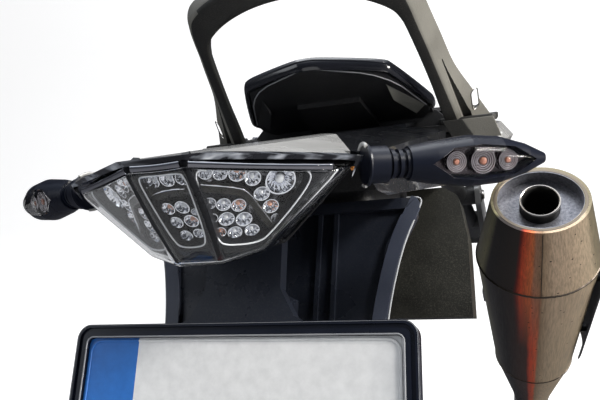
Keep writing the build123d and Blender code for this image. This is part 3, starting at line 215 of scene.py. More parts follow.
solid("lamp_bead", CELLS, (0.75, 0.77, 0.8), 0.08, metal=0.3, coat=1, mottle=0.05)
solid("lamp_lead_bead", CELLS, (0.62, 0.32, 0.22), 0.15, metal=0.3, coat=1, mottle=0.1)
solid("side_bead", "amber", (0.8, 0.3, 0.06), 0.2, coat=1, mottle=0.1)
clear("clear_smoke", "clear_smoke", (0.90, 0.91, 0.92), ior=1.38)
clear("clear_indicator", "clear_smoke", (0.90, 0.90, 0.91), rough=0.06, ior=1.12)
solid("indicator_body", PLASTIC, (0.006, 0.008, 0.016), 0.3, mottle=0.1, shine=0.35)
solid("indicator_floor", CELLS, (0.13, 0.11, 0.12), 0.25, metal=0.6, mottle=0.6)
solid("indicator_line", CELLS, (0.36, 0.34, 0.36), 0.15, metal=0.5, coat=0.8, mottle=0.3)
solid("indicator_core", "amber", (0.34, 0.15, 0.10), 0.3, mottle=0.4)
solid("silver_paint", "ring_grey", (0.52, 0.52, 0.51), 0.28, metal=0.1, coat=0.7, mottle=0.08, dust=0.1,
      grain=0.06, grain_mm=0.4)
solid("red_reflex", "red_reflex", (0.5, 0.02, 0.02), 0.15, coat=1, mottle=0.15)
solid("steel", "steel", (0.5, 0.5, 0.5), 0.32, metal=1, mottle=0.12, grain=0.1, grain_mm=0.5)
solid("screw_steel", "steel", (0.32, 0.32, 0.33), 0.35, metal=1, mottle=0.2)
solid("polished_edge", "steel", (0.55, 0.52, 0.48), 0.22, metal=1, mottle=0.15, rough_vary=0.1)
solid("dish_rim", "steel", (0.17, 0.145, 0.115), 0.42, metal=1, mottle=0.15, rough_vary=0.1)
solid("weld", "titanium", (0.10, 0.085, 0.07), 0.36, metal=0.9, mottle=0.5, grain=0.6, grain_mm=1.8)
solid("cast_alloy", "cast_alloy", (0.4, 0.41, 0.42), 0.45, metal=0.9, grain=0.5, grain_mm=1.4, dust=0.3)
solid("shield_black", "shield_black", (0.025, 0.025, 0.027), 0.38, metal=0.3, grain=0.2, grain_mm=0.9,
      dust=0.3)
solid("seat_band", "seat_vinyl", (0.012, 0.013, 0.018), 0.16, coat=0.5, mottle=0.1)

BLUE_BAND_X = -64 * MM


def plate_paint():
    """White sheet with a blank blue band on its left."""
    shader = shader_of("plate_white", "plate_white")
    on_band = calc("LESS_THAN", split(object_coordinates(shader))["X"], BLUE_BAND_X)
    fleck = noise(object_coordinates(shader), 160, 4, 0.6)
    white = ramp(fleck, (0.3, (0.74, 0.75, 0.76)), (0.7, (0.84, 0.85, 0.86)))
    blue = ramp(fleck, (0.3, (0.015, 0.14, 0.50)), (0.7, (0.02, 0.17, 0.58)))
    paint(shader, blend(on_band, white, blue), ramp(fleck, (0.3, 0.28), (0.7, 0.42)))
    bump(shader, fleck, 0.08, 0.0003)


def vinyl():
    """Black seat cover with a pressed leather grain."""
    shader = shader_of("seat_vinyl", "seat_vinyl")
    vector = object_coordinates(shader)
    wide = noise(vector, 30, 4)
    tint = ramp(wide, (0.3, (0.014, 0.015, 0.018)), (0.7, (0.024, 0.025, 0.029)))
    paint(shader, tint, ramp(wide, (0.3, 0.36), (0.7, 0.5)))
    bump(shader, cells(vector, 620), 0.45, 0.0004, bump(shader, wide, 0.25, 0.002))


# Edges of the cowl's paint: outward direction (X, Y, Z), a point (X, t, z), mm back from it. Black lies past
# the first and painted reflections past the others, which follow the lamp.
COWL_EDGES = (
    ((0.948, 0.321, 0), (51.3, 90.2, 100), 0),
    ((0, -1, -0.58), (16.5, -65, 98), 9),
    ((0.553, -0.768, -0.32), (16.5, -65, 98), 9),
)
COWL_BLACK = (0.008, 0.009, 0.012)


def cowl_paint():
    """Silver on the deck, black outside a slanting line on each side, painted reflections along the lamp's
    edge.
    """
    shader = solid("cowl_paint", "gloss_body", (0.72, 0.72, 0.71), 0.26, metal=0.1, coat=0.7, mottle=0.06,
                   dust=0.06)
    x, y, z = split(object_coordinates(shader))
    folded = node(shader, "CombineXYZ", {"X": calc("ABSOLUTE", x), "Y": y, "Z": z}).outputs[0]
    masks = []
    for normal, point, back in COWL_EDGES:
        normal = Vector(normal).normalized()
        across = node(shader, "VectorMath", {0: folded, 1: normal}, operation="DOT_PRODUCT").outputs["Value"]
        masks.append(calc("GREATER_THAN", across, place(*point).dot(normal) - back * MM))
    # Light streaks past the lamp's edge are painted reflections
    painted_reflections = ramp(noise(object_coordinates(shader, (0.07, 1, 1.3)), 150, 2, 0.5), (0, COWL_BLACK),
                  (0.46, (0.012, 0.013, 0.018)), (0.60, (0.26, 0.28, 0.32)), (0.74, (0.6, 0.63, 0.68)))
    tint = shader.inputs["Base Color"].links[0].from_socket
    for mask in masks[1:]:
        tint = blend(mask, tint, painted_reflections)
    feed(shader, {"Base Color": blend(masks[0], tint, COWL_BLACK)})


def crystal_floor():
    """Smoked chrome broken into small upright facets, with painted glints along some of their edges."""
    shader = shader_of("lamp_floor", CELLS)
    facets = cells(object_coordinates(shader, (1, 0.6, 0.45)), 230, feature="DISTANCE_TO_EDGE")
    # Light lines along the facets' edges, shown in patches: painted glints
    edges = ramp(facets, (0.02, (0.42, 0.42, 0.44)), (0.09, (0.05, 0.05, 0.052)),
                 (0.30, (0.02, 0.02, 0.021)))
    lit = ramp(noise(object_coordinates(shader), 120, 3, 0.6), (0.42, 0), (0.62, 0.85))
    paint(shader, blend(lit, (0.03, 0.03, 0.031), edges), 0.14, 1)
    bump(shader, facets, 0.5, 0.0012)


plate_paint()
vinyl()
cowl_paint()
crystal_floor()


# Mesh helpers
def add(thing):
    bpy.context.scene.collection.objects.link(thing)
    return thing


def new_object(name, points, faces):
    mesh = bpy.data.meshes.new(name)
    mesh.from_pydata([tuple(p) for p in points], [], faces)
    mesh.update()
    return add(bpy.data.objects.new(name, mesh))


def finish_piece(piece, look, body="tail", smooth=True, slot=None):
    """Gives a piece its look and its body."""
    material, own_slot = LOOKS[look]
    slot = slot or own_slot
    piece.data.materials.clear()
    piece.data.materials.append(material)
    for polygon in piece.data.polygons:
        polygon.use_smooth = smooth
    if smooth:
        piece.data.set_sharp_from_angle(angle=radians(35))
    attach(piece, body)
    return piece


def mesh_piece(name, points, faces, look, body="tail", smooth=True, slot=None):
    return finish_piece(new_object(name, points, faces), look, body, smooth, slot)


def on_frame(at_frame, outline, height):
    """Points of an outline in mm, at a height in the frame."""
    return [at_frame @ (Vector((x, y, height)) * MM) for x, y in outline]


def oval(wide, tall=None, steps=8):
    """Oval from its half sizes, or a circle."""
    angles = [2 * pi * k / steps for k in range(steps)]
    return [(wide * cos(a), (tall or wide) * sin(a)) for a in angles]


def bands(rows, count, wrap=False, flip=False):
    """Faces between neighbouring rows of points, where each row is a closed loop."""
    faces = []
    for row in range(rows if wrap else rows - 1):
        after = (row + 1) % rows
        for k in range(count):
            n = (k + 1) % count
            face = (row * count + k, row * count + n, after * count + n, after * count + k)
            faces.append(face[::-1] if flip else face)
    return faces


def ends(rows, count):
    """Faces that close the first and the last row."""
    return [tuple(reversed(range(count))), tuple((rows - 1) * count + k for k in range(count))]


def ridge(low, bottom, high, top):
    """Section with a flat foot and a flat top, from the half width and the height of each."""
    return [(-low, bottom), (low, bottom), (high, top), (-high, top)]


def lathe(name, profile, at_frame, look, steps=40, ring=False):
    """Solid from a (radius, height) profile in mm, turned about the frame's Z. A ring has a hole."""
    if ring:
        profile = profile + [profile[0]]
    points = [p for radius, height in profile for p in on_frame(at_frame, oval(radius, steps=steps), height)]
    faces = bands(len(profile), steps)
    return mesh_piece(name, points, faces if ring else faces + ends(len(profile), steps), look)


def sweep(name, path, section, look, closed=False, up=(0, 0, 1), slot=None):
    """Solid along a path of points in metres; the section is (side, up) in mm."""
    path = [Vector(p) for p in path]
    points = []
    for k, point in enumerate(path):
        before = path[k - 1] if k or closed else point
        after = path[(k + 1) % len(path)] if k < len(path) - 1 or closed else point
        along = (after - before).normalized()
        side = along.cross(Vector(up)).normalized()
        top = side.cross(along).normalized()
        points += [point + (side * a + top * b) * MM for a, b in section]
    faces = bands(len(path), len(section), closed)
    if not closed:
        faces += ends(len(path), len(section))
    return mesh_piece(name, points, faces, look, slot=slot)


def modify(piece, name, kind, **settings):
    set_all(piece.modifiers.new(name, kind), **settings)


def soften(piece, width_mm, segments=2, angle=32):
    """Rounds the edges of a piece or of a carried-over solid."""
    modify(piece, "edges", "BEVEL", width=width_mm * MM, segments=segments, limit_method="ANGLE",
           angle_limit=radians(angle))


def slab(name, outline, thick, at_frame, look, bevel=0.5):
    """Flat plate from an outline in mm, standing up from the frame's XY plane."""
    points = on_frame(at_frame, outline, 0) + on_frame(at_frame, outline, thick)
    faces = ends(2, len(outline)) + bands(2, len(outline))
    piece = mesh_piece(name, points, faces, look, smooth=False)
    if bevel:
        soften(piece, bevel)


def rounded_box(width, height, radius, steps=5):
    """Outline of a rounded rectangle about the origin, in mm."""
    points = []
    for across, up, start in ((1, 1, 0), (-1, 1, 90), (-1, -1, 180), (1, -1, 270)):
        middle_x, middle_y = across * (width / 2 - radius), up * (height / 2 - radius)
        for k in range(steps + 1):
            a = radians(start + 90 * k / steps)
            points.append((middle_x + radius * cos(a), middle_y + radius * sin(a)))
    return points


def smooth_line(points, closed=False):
    """Line with its corners cut round, in two passes; an open one keeps its ends."""
    for _ in range(2):
        cut = [] if closed else [points[0]]
        for point, after in zip(points, points[1:] + points[:1] if closed else points[1:]):
            cut.append(tuple(0.75 * a + 0.25 * b for a, b in zip(point, after)))
            cut.append(tuple(0.25 * a + 0.75 * b for a, b in zip(point, after)))
        points = cut if closed else cut + [points[-1]]
    return points


def screw(name, point, normal, radius, tall):
    """Round-headed screw on a washer, with a flat black hexagon as painted shade in its six-sided socket."""
    side = (0, 0, 1) if abs(Vector(normal).normalized().z) < 0.9 else (1, 0, 0)
    at_frame = turn(side, normal, point)
    washer = [(radius * 1.5, 0), (radius * 1.5, 0.9), (radius * 1.02, 0.9)]
    head = [(radius, tall * 0.55), (radius * 0.93, tall * 0.82), (radius * 0.8, tall)]
    lathe(name, washer + head, at_frame, "screw_steel", 28)
    lift = at_frame @ Matrix.Translation((0, 0, (tall - 0.05) * MM))
    # Flat black hexagon: painted shade of the socket
    slab(name + "_socket", oval(radius * 0.5, steps=6), 0.1, lift, "lamp_bezel", 0)


def apply_modifiers(piece):
    """Bakes a piece's modifiers into its mesh."""
    graph = bpy.context.evaluated_depsgraph_get()
    mesh = bpy.data.meshes.new_from_object(piece.evaluated_get(graph))
    piece.modifiers.clear()
    piece.data = mesh


def reshape(mesh, change):
    """Makes one change to a mesh in edit form."""
    edited = bmesh.new()
    edited.from_mesh(mesh)
    change(edited)
    edited.to_mesh(mesh)
    edited.free()


def turn_faces_out(edited):
    bmesh.ops.recalc_face_normals(edited, faces=edited.faces)


def dress(name, look, bevel):
    """Gives a carried-over solid its material and softened edges."""
    solid_part = NODES[name]
    material = LOOKS[look][0]
    for holder in solid_part.material_slots:
        holder.material = material
    if not solid_part.material_slots:
        solid_part.data.materials.append(material)
    if bevel:
        soften(solid_part, bevel)


DRESSED = {  # look: its solids and how wide their edges are softened; a name with _ at its end has two sides
    "subframe_paint": {"subframe": 0.5},
    "black_plastic": {"undertray": 1, "seat_back_panel": 1.6, "lamp_housing": 0.8, "seat_pan": 1.2},
    "cowl_paint": {"tail_cowl": 1.6},
    "dark_panel": {"plate_hanger": 1.5, "rear_mudguard": 0.9},
    "dirty_panel": {"inner_mudguard": 1.2},
    "indicator_body": {"plate_frame": 0.7, "indicator_stem_": 0.5, "indicator_body_": 0.6},
    "indicator_floor": {"indicator_optics_": 0.2},
    "lamp_floor": {"lamp_reflector": 0.3},
    "plate_white": {"number_plate": 0.3},
    "red_reflex": {"rear_reflector": 0.6},
    "silver_paint": {"side_cover_": 1},
    "shield_black": {"heat_shield": 0.5},
    "cast_alloy": {"footrest_bracket_": 1.2, "footrest_": 0.8},
    "steel": {"silencer_clamp": 0, "silencer_inlet": 0, "footrest_pin_": 0.4},
}
for look, solids in DRESSED.items():
    for name, bevel in solids.items():
        for side in ("left", "right") if name.endswith("_") else ("",):
            dress(name + side, look, bevel)

# Camera
CAMERA_LENS = 38.21
CAMERA_RIGHT = (0.945, 0.3049, -0.1182)
CAMERA_BACKWARD = (0.3178, -0.9415, 0.112)
CAMERA_PLACE = (0.1612, -0.9295, 0.0479)
camera = add(bpy.data.objects.new("camera", bpy.data.cameras.new("camera")))
set_all(camera.data, lens=CAMERA_LENS, sensor_width=36, clip_start=0.01)
camera.matrix_world = turn(CAMERA_RIGHT, CAMERA_BACKWARD, CAMERA_PLACE)
bpy.context.scene.camera = camera

# Floor and backdrop in one curved sheet
FLOOR_GAP = 0.001
PAPER_HALF = 9
PAPER_FRONT, PAPER_BEND, PAPER_TOP = -6, 3, 7
BEND_R = 1.5
shader = shader_of("paper")
rays = node(shader, "LightPath", {}).outputs
seen = calc("MAXIMUM", rays["Is Camera Ray"], rays["Is Transmission Ray"])
feed(shader, {
    "Roughness": 0.9, "Emission Color": (1, 1, 1), "Emission Strength": calc("MULTIPLY", seen, 0.75),
    "Base Color": blend(rays["Is Glossy Ray"], (0.5, 0.5, 0.5), (0.07, 0.07, 0.08))})
profile = [(PAPER_FRONT, 0), (PAPER_BEND, 0)]
profile += [(PAPER_BEND + BEND_R * sin(radians(a)), BEND_R - BEND_R * cos(radians(a)))
            for a in range(10, 91, 10)]
profile += [(PAPER_BEND + BEND_R, PAPER_TOP)]
floor_z = cad_low[2] - FLOOR_GAP
points = [(x, y, floor_z + z) for y, z in profile for x in (-PAPER_HALF, PAPER_HALF)]
faces = [(k, k + 1, k + 3, k + 2) for k in range(0, 2 * len(profile) - 2, 2)]
backdrop = new_object("studio_paper", points, faces)
for polygon in backdrop.data.polygons:
    polygon.use_smooth = True
backdrop.data.materials.append(LOOKS["paper"][0])

# Lights; metals mirror a sky that is dark below and bright above
world = bpy.data.worlds.new("studio")
bpy.context.scene.world = world
world.use_nodes = True
sky = world.node_tree.nodes["Background"]
height = split(node(sky, "TexCoord", {}).outputs["Generated"])["Z"]
mirrored = ramp(height, (0, (0.03, 0.03, 0.035)), (0.3, (0.06, 0.065, 0.08)), (0.62, (0.16, 0.18, 0.22)),
                (0.8, (1.1, 1.15, 1.25)))
glossy = node(sky, "LightPath", {}).outputs["Is Glossy Ray"]
feed(sky, {"Color": blend(glossy, (0.25, 0.26, 0.28), mirrored), "Strength": 1})


def lamp(name, position, target, size, watts, colour, size_y=None):
    data = bpy.data.lights.new(name, "AREA")
    set_all(data, energy=watts, color=colour, size=size)
    if size_y:
        set_all(data, shape="RECTANGLE", size_y=size_y)
    made = add(bpy.data.objects.new(name, data))
    made.matrix_world = turn((1, 0, 0), Vector(position) - Vector(target), position)


AIM = (0, -0.3, 0)
lamp("key", (2, -0.9, 1.5), AIM, 0.6, 64, (1, 0.97, 0.92))
lamp("side", (2.4, -0.8, 0.25), AIM, 0.5, 46, (1, 0.96, 0.90))
lamp("sky", (-0.2, -0.1, 2.3), AIM, 2.2, 34, (0.94, 0.97, 1), 1.4)
lamp("fill", (-1.9, -1.6, 0.9), AIM, 1.2, 8, (0.92, 0.96, 1))
lamp("backdrop", (0, 2.6, 3.4), (0, 4.4, 1.2), 4, 70, (1, 1, 1), 1)
bpy.context.scene.view_settings.view_transform = "Standard"

# Tail lamp: a faceted clear shell, a dark inner frame and round bright cells behind it; corners are (X, t, z)
TOP = (16.5, -65, 98)
SHOULDER = (82, -18, 86)
CHEEK = (35, -21, 45)
CHIN_X, CHIN_Z = 12.8, 41
SEAT_T = 12
NOSE_LEAN = 0.58  # forward for each mm down
CHIN = (CHIN_X, TOP[1] + NOSE_LEAN * (TOP[2] - CHIN_Z), CHIN_Z)


def facet_frames():
    """Frames on the lamp's facets: origin at the top inner corner, X outwards, -Y down."""
    frames = {"nose": turn((1, 0, 0), (0, -1, -NOSE_LEAN), place(0, *TOP[1:]))}
    for side, hand in SIDES:
        a, b, c = (Vector((hand * p[0], p[1], p[2])) for p in (TOP, SHOULDER, CHEEK))
        normal = (b - a).cross(c - a)
        if normal.y > 0:
            normal = -normal
        frames[side] = turn(b - a, normal, place(hand * TOP[0], *TOP[1:]))
    return frames


LENS_CORNERS = {"a": TOP, "b": SHOULDER, "c": CHEEK, "d": CHIN}
LENS_CORNERS.update({"f" + key: (x, SEAT_T, z) for key, (x, _, z) in list(LENS_CORNERS.items())})
keys = list(LENS_CORNERS)


def numbers(names):
    """Vertex numbers of a face; a name with a dash is the left side's."""
    return tuple(keys.index(n.strip("-")) + (len(keys) if n.endswith("-") else 0) for n in names.split())


points = [place(hand * x, t, z) for hand in (1, -1) for x, t, z in LENS_CORNERS.values()]
lens = mesh_piece("lamp_lens_shell", points, [numbers(face) for face in (
    "a- d- d a", "a d c b", "b- c- d- a-", "a fa fa- a-", "b fb fa a", "c fc fb b", "d fd fc c",
    "d- fd- fd d", "c- fc- fd- d-", "b- fb- fc- c-", "a- fa- fb- b-")], "clear_smoke")


def roll_top(edited):
    """Rounds the lamp's three top edges."""
    edited.verts.ensure_lookup_table()
    pairs = [set(numbers(pair)) for pair in ("a b", "a a-", "a- b-")]
    edges = [e for e in edited.edges if {v.index for v in e.verts} in pairs]
    bmesh.ops.bevel(edited, geom=edges, offset=7 * MM, segments=8, profile=0.5, affect="EDGES")


reshape(lens.data, roll_top)
soften(lens, 3.6, 4, 20)
modify(lens, "wall", "SOLIDIFY", thickness=2 * MM, offset=-1)
lens.visible_shadow = False
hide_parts("lamp_lens")

# Facets as drawn flat: along the top edge and below it, in mm
SIDE_FACET = ((0, 0), (81.5, 0), (48, 52.7), (24.4, 61.3))
NOSE_FACET = ((-16.5, 0), (16.5, 0), (12.8, 65.9), (-12.8, 65.9))
SIDE_WINDOW = (
    (6.5, 6.5), (12, 5), (26, 4.2), (48, 3.6), (59, 3.8), (64.4, 5.4), (66.2, 9), (62.8, 18.5),
    (56, 31.5), (48.8, 43.4), (45.2, 47.4), (38, 49.4), (27, 49.9), (22.5, 47.5), (16.5, 34), (11, 19.5),
)
NOSE_WINDOW = (
    (-12.6, 9), (-10, 7.4), (0, 7.8), (10, 7.4), (12.6, 9), (12, 22), (10.8, 37), (9, 50),
    (6, 54), (-6, 54), (-9, 50), (-10.8, 37), (-12, 22),
)
SIDE_BOWLS = (  # along, below, radius
    (6.6, 9.6, 3.2), (12.8, 9.2, 3.4), (20, 9, 3.9), (28.6, 9, 4.6), (36.8, 11.8, 4.2), (51.4, 13, 8),
    (42.6, 20.6, 4.3), (48.4, 28.2, 4.3), (52.2, 35.4, 2.7), (16.2, 26.6, 3.5), (23.6, 27.2, 3.8),
    (31.4, 27.6, 3.9), (18.6, 35.6, 3), (26, 36, 4.2), (35.2, 36.2, 4.4), (23.6, 44.4, 3.2),
    (31.4, 44.6, 3.9), (40.4, 43.2, 4),
)
NOSE_BOWLS = (
    (-8, 13.4, 3.6), (0.2, 13, 4), (8.2, 13.4, 3.4), (-6.6, 30.6, 3.8), (1.6, 30.4, 4), (7.6, 34, 2.2),
    (-5.4, 39.8, 3.7), (3.2, 39.6, 4), (-3.4, 49.2, 3.7), (4.4, 48.2, 3.2),
)
SIDE_DIVIDER = ((3.4, 17.2), (14, 17.6), (30.8, 19.2), (35, 21.4), (43, 31), (51.5, 41.6))
NOSE_DIVIDER = ((-13, 23.6), (-6, 21.4), (2, 20.6), (13, 21.4))
# Fields of the lamp: facet, window, bowls, divider, ends of the shoulder strip
NOSE_FIELD = (NOSE_FACET, NOSE_WINDOW, NOSE_BOWLS, NOSE_DIVIDER, (-13.5, 13.5))
SIDE_FIELD = (SIDE_FACET, SIDE_WINDOW, SIDE_BOWLS, SIDE_DIVIDER, (3, 76))
FIELDS = {"nose": NOSE_FIELD, "left": SIDE_FIELD, "right": SIDE_FIELD}
BEZEL_ROWS = (  # share of the way out from the window to the facet's edge, sink below the facet
    (0.88, 8.5), (0.72, 5.2), (0.45, 3.9), (0.12, 3.5), (0, 3.9), (-0.05, 10.6),
)
LINE_SINK, BOWL_SINK, STRIP_SINK = 3.7, 7.6, 3.2
DIVIDER_SINK = 8.2
BOWL_ROWS = ((1, -3.2), (1, 0.1), (0.9, 0.1), (0.78, -1.2), (0.52, -2.3), (0.26, -2.9))  # share, height
BIG_BOWL = 6
facets = facet_frames()


def on_facet(side, along, below, sink=0):
    """Point on a facet of the lamp, sunk below it; the nose's along is X."""
    hand = -1 if side == "left" else 1
    return facets[side] @ (Vector((along, -hand * below, -sink)) * MM)


def out_of_facet(side):
    return facets[side].to_3x3() @ Vector((0, 0, 1))


def spread_to(polygon, point, middle):
    """Where the ray from the middle through a point leaves a polygon."""
    reach = []
    dx, dy = point[0] - middle[0], point[1] - middle[1]
    for (ax, ay), (bx, by) in zip(polygon, polygon[1:] + polygon[:1]):
        ex, ey = bx - ax, by - ay
        area = dx * ey - dy * ex
        if abs(area) > 1e-9:
            far = ((ax - middle[0]) * ey - (ay - middle[1]) * ex) / area
            share = ((ax - middle[0]) * dy - (ay - middle[1]) * dx) / area
            if far > 0 and -1e-6 <= share <= 1 + 1e-6:
                reach.append(far)
    return middle[0] + dx * min(reach), middle[1] + dy * min(reach)


def crystal_bowl(name, radius, at_frame, flutes):
    """Round reflector with flat flutes that catch the light one by one."""
    points = []
    steps = 2 * flutes
    for number, (share, height) in enumerate(BOWL_ROWS):
        for k in range(steps):
            a = pi * k / flutes + (0.5 * pi / flutes if number > 3 else 0)
            ripple = 0 if number < 3 else (0.16 if (k + number) % 2 else -0.10)
            out = share * (1 + ripple) * radius
            points.append(at_frame @ (Vector((out * cos(a), out * sin(a), height + radius * ripple)) * MM))
    faces = bands(len(BOWL_ROWS), steps) + ends(len(BOWL_ROWS), steps)[1:]
    mesh_piece(name, points, faces, "chrome_cells", smooth=False)


def bezel(side, facet, window):
    """Dark inner frame from a field's window out to the facet's edge."""
    middle = (sum(p[0] for p in window) / len(window), sum(p[1] for p in window) / len(window))
    edge = [spread_to(facet, p, middle) for p in window]
    points = [on_facet(side, p[0] + share * (e[0] - p[0]), p[1] + share * (e[1] - p[1]), sink)
              for share, sink in BEZEL_ROWS for p, e in zip(window, edge)]
    faces = bands(len(BEZEL_ROWS), len(window), flip=side != "left")
    mesh_piece("lamp_bezel_" + side, points, faces, "lamp_bezel")


for side, (facet, window, bowls, divider, strip) in FIELDS.items():
    out = out_of_facet(side)
    window = smooth_line(window, closed=True)
    bezel(side, facet, window)
    # A light bead round each window: painted highlight along the window's edge
    line = [on_facet(side, *p, LINE_SINK) for p in window]
    sweep("lamp_window_highlight_" + side, line, oval(0.45), "lamp_bead", closed=True, up=out)
    for number, (along, below, radius) in enumerate(bowls, 1):
        sideways = facets[side].to_3x3() @ Vector((1, 0, 0))
        at_frame = turn(sideways, out, on_facet(side, along, below, BOWL_SINK))
        name = f"lamp_bowl_{side}_{number}"
        crystal_bowl(name, radius, at_frame, 10 if radius < BIG_BOWL else 16)
        size = radius * 0.3
        bead = [(size, -3), (size, -2), (size * 0.8, -1.2), (size * 0.45, -0.8), (size * 0.1, -0.7)]
        lathe(name + "_bead", bead, at_frame, "lamp_lead_bead" if number % 4 == 0 else "lamp_bead", 12)
    band = smooth_line(divider)
    sweep("lamp_divider_" + side, [on_facet(side, *p, DIVIDER_SINK) for p in band],
          [(-2.2, -2.6), (2.2, -2.6), (1.9, 1.4), (-1.9, 2)], "lamp_divider", up=out)
    sweep("lamp_divider_line_" + side, [on_facet(side, x, y - 2.5, DIVIDER_SINK - 1.6) for x, y in band],
          oval(0.38), "chrome_cells", up=out)
    first, last = strip
    shoulder = [on_facet(side, first + (last - first) * k / 24, 2.5 + 0.5 * sin(pi * k / 24), STRIP_SINK)
                for k in range(25)]
    sweep("lamp_shoulder_" + side, shoulder, oval(2.3, 1.5, 16), "chrome_cells", up=out)

# Black seams between the lamp's three fields
for side, hand in SIDES:
    top, low = (place(hand * x, t, z) for x, t, z in (TOP, CHIN))
    inward = -(out_of_facet("nose") + out_of_facet(side)).normalized()
    path = []
    for k in range(13):
        share = 0.015 + 0.95 * k / 12
        bow = 1.2 * MM * sin(pi * share) * hand
        path.append(top.lerp(low, share) + inward * 4.2 * MM + Vector((bow, 0, 0)))
    section = [(-2.1, -7.5), (2.1, -7.5), (1.9, 1), (0.9, 1.7), (-0.9, 1.7), (-1.9, 1)]
    sweep("lamp_seam_" + side, path, section, "lamp_bezel", up=-inward)

# Dark lip between the lamp and the cowl, and the small side bead
LIP_T = 8.5
LIP_CORNERS = ((-82.6, 86.6), (-16.5, 98.8), (16.5, 98.8), (82.6, 86.6), (35.6, 44.4), (14, 40.2),
               (-14, 40.2), (-35.6, 44.4))
sweep("lamp_gasket", [place(x, LIP_T, z) for x, z in LIP_CORNERS], ridge(0.3, -2.5, 0.3, 2.5), "stem_rubber",
      closed=True, up=(0, 1, 0))
lathe("lamp_side_bead", [(1, -1), (1, 0.2), (0.7, 0.5), (0.3, 0.6)],
      turn((0, 0, 1), (0.85, -0.35, 0.1), place(83.6, -8, 84)), "side_bead", 14)

# Indicators
STEM_ROOT = (88, 4, 84)
TIP = (181, 54, 75)
LENS_FROM = 33.5  # mm from the stem's root along its axis
INDICATOR_CELLS = ((16, 5.6), (31.5, 7), (46, 5.4))  # along the lens, radius
CELL_RINGS = (0.97, 0.80, 0.62, 0.45)  # share of the cell's radius
COLLAR = [(11.4, 1.6), (11.6, 0.6), (11, -0.2), (6, -0.9), (0.5, -1.1)]
# Silver arcs on the top and the bottom of each collar: painted highlights
HIGHLIGHT_ARCS = (("top", -80, 25, 1.15), ("low", 165, 195, 0.8))  # name, first and last angle, wire radius
for side, hand in SIDES:
    root, tip = (place(hand * x, t, z) for x, t, z in (STEM_ROOT, TIP))
    axis = (tip - root).normalized()
    rearward = (Vector((0, -1, 0)) + axis * axis.y).normalized()
    shell = add(bpy.data.objects.new("indicator_shell_" + side, NODES["indicator_lens_" + side].data.copy()))
    finish_piece(shell, "clear_indicator")
    shell.visible_shadow = False
    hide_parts("indicator_lens_" + side)
    for number, (s, radius) in enumerate(INDICATOR_CELLS, 1):
        at_frame = turn(axis, rearward, root + (axis * (LENS_FROM + s) + rearward * 1.6) * MM)
        name = f"_{side}_{number}"
        cell = [(radius, -0.6), (radius, 1.9), (radius * 0.9, 2.2), (radius * 0.3, 1.6), (radius * 0.1, 1.6)]
        lathe("indicator_ring" + name, cell, at_frame, "indicator_floor")
        for ring_number, share in enumerate(CELL_RINGS, 1):
            circle = on_frame(at_frame, oval(radius * share, steps=36), 2.7 - 0.2 * ring_number)
            sweep(f"indicator_line{name}_{ring_number}", circle, oval(0.28, steps=6), "indicator_line",
                  closed=True, up=rearward)
        bulb = [(radius * 0.3, 1.4), (radius * 0.3, 2.4), (radius * 0.22, 2.9), (radius * 0.05, 3.1)]
        lathe("indicator_bulb" + name, bulb, at_frame, "indicator_core", 16)
    collar_at = turn((0, 0, 1), axis, root - axis * 0.8 * MM)
    lathe("indicator_collar_" + side, COLLAR, collar_at, "indicator_body", 44)
    upright = (Vector((0, 0, 1)) - axis * axis.z).normalized()
    for part, first, last, size in HIGHLIGHT_ARCS:
        arc = [root - axis * 1.2 * MM + (upright * cos(radians(a)) + rearward * sin(radians(a))) * 11.4 * MM
               for a in range(first, last + 1, 5)]
        sweep(f"indicator_crescent_{side}_{part}", arc, oval(size), "silver_paint", up=axis)

# Grab hoop: one flowing bar, drawn as in its solid: X, b down the slope and c out of it
HOOP_LEAN = radians(42)
HOOP_T, HOOP_Z = 180.6, 200.6
HOOP_ROWS = (  # inner X, inner b, low outer X, low outer b, top outer X, top outer b, corner size
    (0, -12.5, 0, -36.8, 0, -36.8, 7),
    (16, -11.4, 20, -36, 20, -36, 7),
    (32, -8.6, 39, -33.4, 39, -33.4, 7),
    (47, -4, 58, -28.4, 58.5, -28.4, 7),
    (60.5, 1.8, 75.5, -20.4, 78, -20.4, 6.5),
    (72.5, 9, 88, -10.6, 93, -11.6, 5.5),
    (81.5, 17, 93, 1.5, 101.5, 0.5, 4.5),
    (86, 26, 96, 16.5, 105, 14.5, 3.5),
    (88.4, 36, 98.6, 34, 108, 32, 3),
    (92.8, 62, 103, 62, 113.5, 62, 2.6),
    (98.2, 100, 108.5, 100, 120.5, 100, 2.4),
    (102, 135, 113.8, 135, 132.8, 135, 2.4),
    (103.9, 150, 116, 150, 138, 150, 2.4),
)
ARM_GROWTH = (0.127, 0.149, 0.349, 0.127)  # X of each corner for each step of b at the foot
HOOP_TALL = 24
ARM_FOOT_Z = 96
WEDGE = ((110.5, 84), (113.5, 84), (127.5, 143), (131.5, 186), (124.5, 186))  # X, b
SLOT_X, SLOT_B, SLOT_R, SLOT_HALF = 133.5, 148, 3, 7
FOOT_X, FOOT_T, FOOT_Z = 125, 348, 94


def on_hoop(x, b, c):
    run, rise = cos(HOOP_LEAN), sin(HOOP_LEAN)
    return place(x, HOOP_T + b * run + c * rise, HOOP_Z - b * rise + c * run)


def smooth_rows(rows, steps):
    """Rows in between on a smooth curve through the rows."""
    made = []
    for k in range(len(rows) - 1):
        before, a, b, after = rows[max(k - 1, 0)], rows[k], rows[k + 1], rows[min(k + 2, len(rows) - 1)]
        for step in range(steps):
            u = step / steps
            made.append(tuple(0.5 * (2 * q + (r - p) * u + (2 * p - 5 * q + 4 * r - s) * u * u
                                     + (3 * q - p - 3 * r + s) * u ** 3)
                              for p, q, r, s in zip(before, a, b, after)))
    return made + [rows[-1]]


def end_b(c):
    """Where the arm reaches its foot, at height c."""
    return (HOOP_Z + c * cos(HOOP_LEAN) - ARM_FOOT_Z) / sin(HOOP_LEAN)


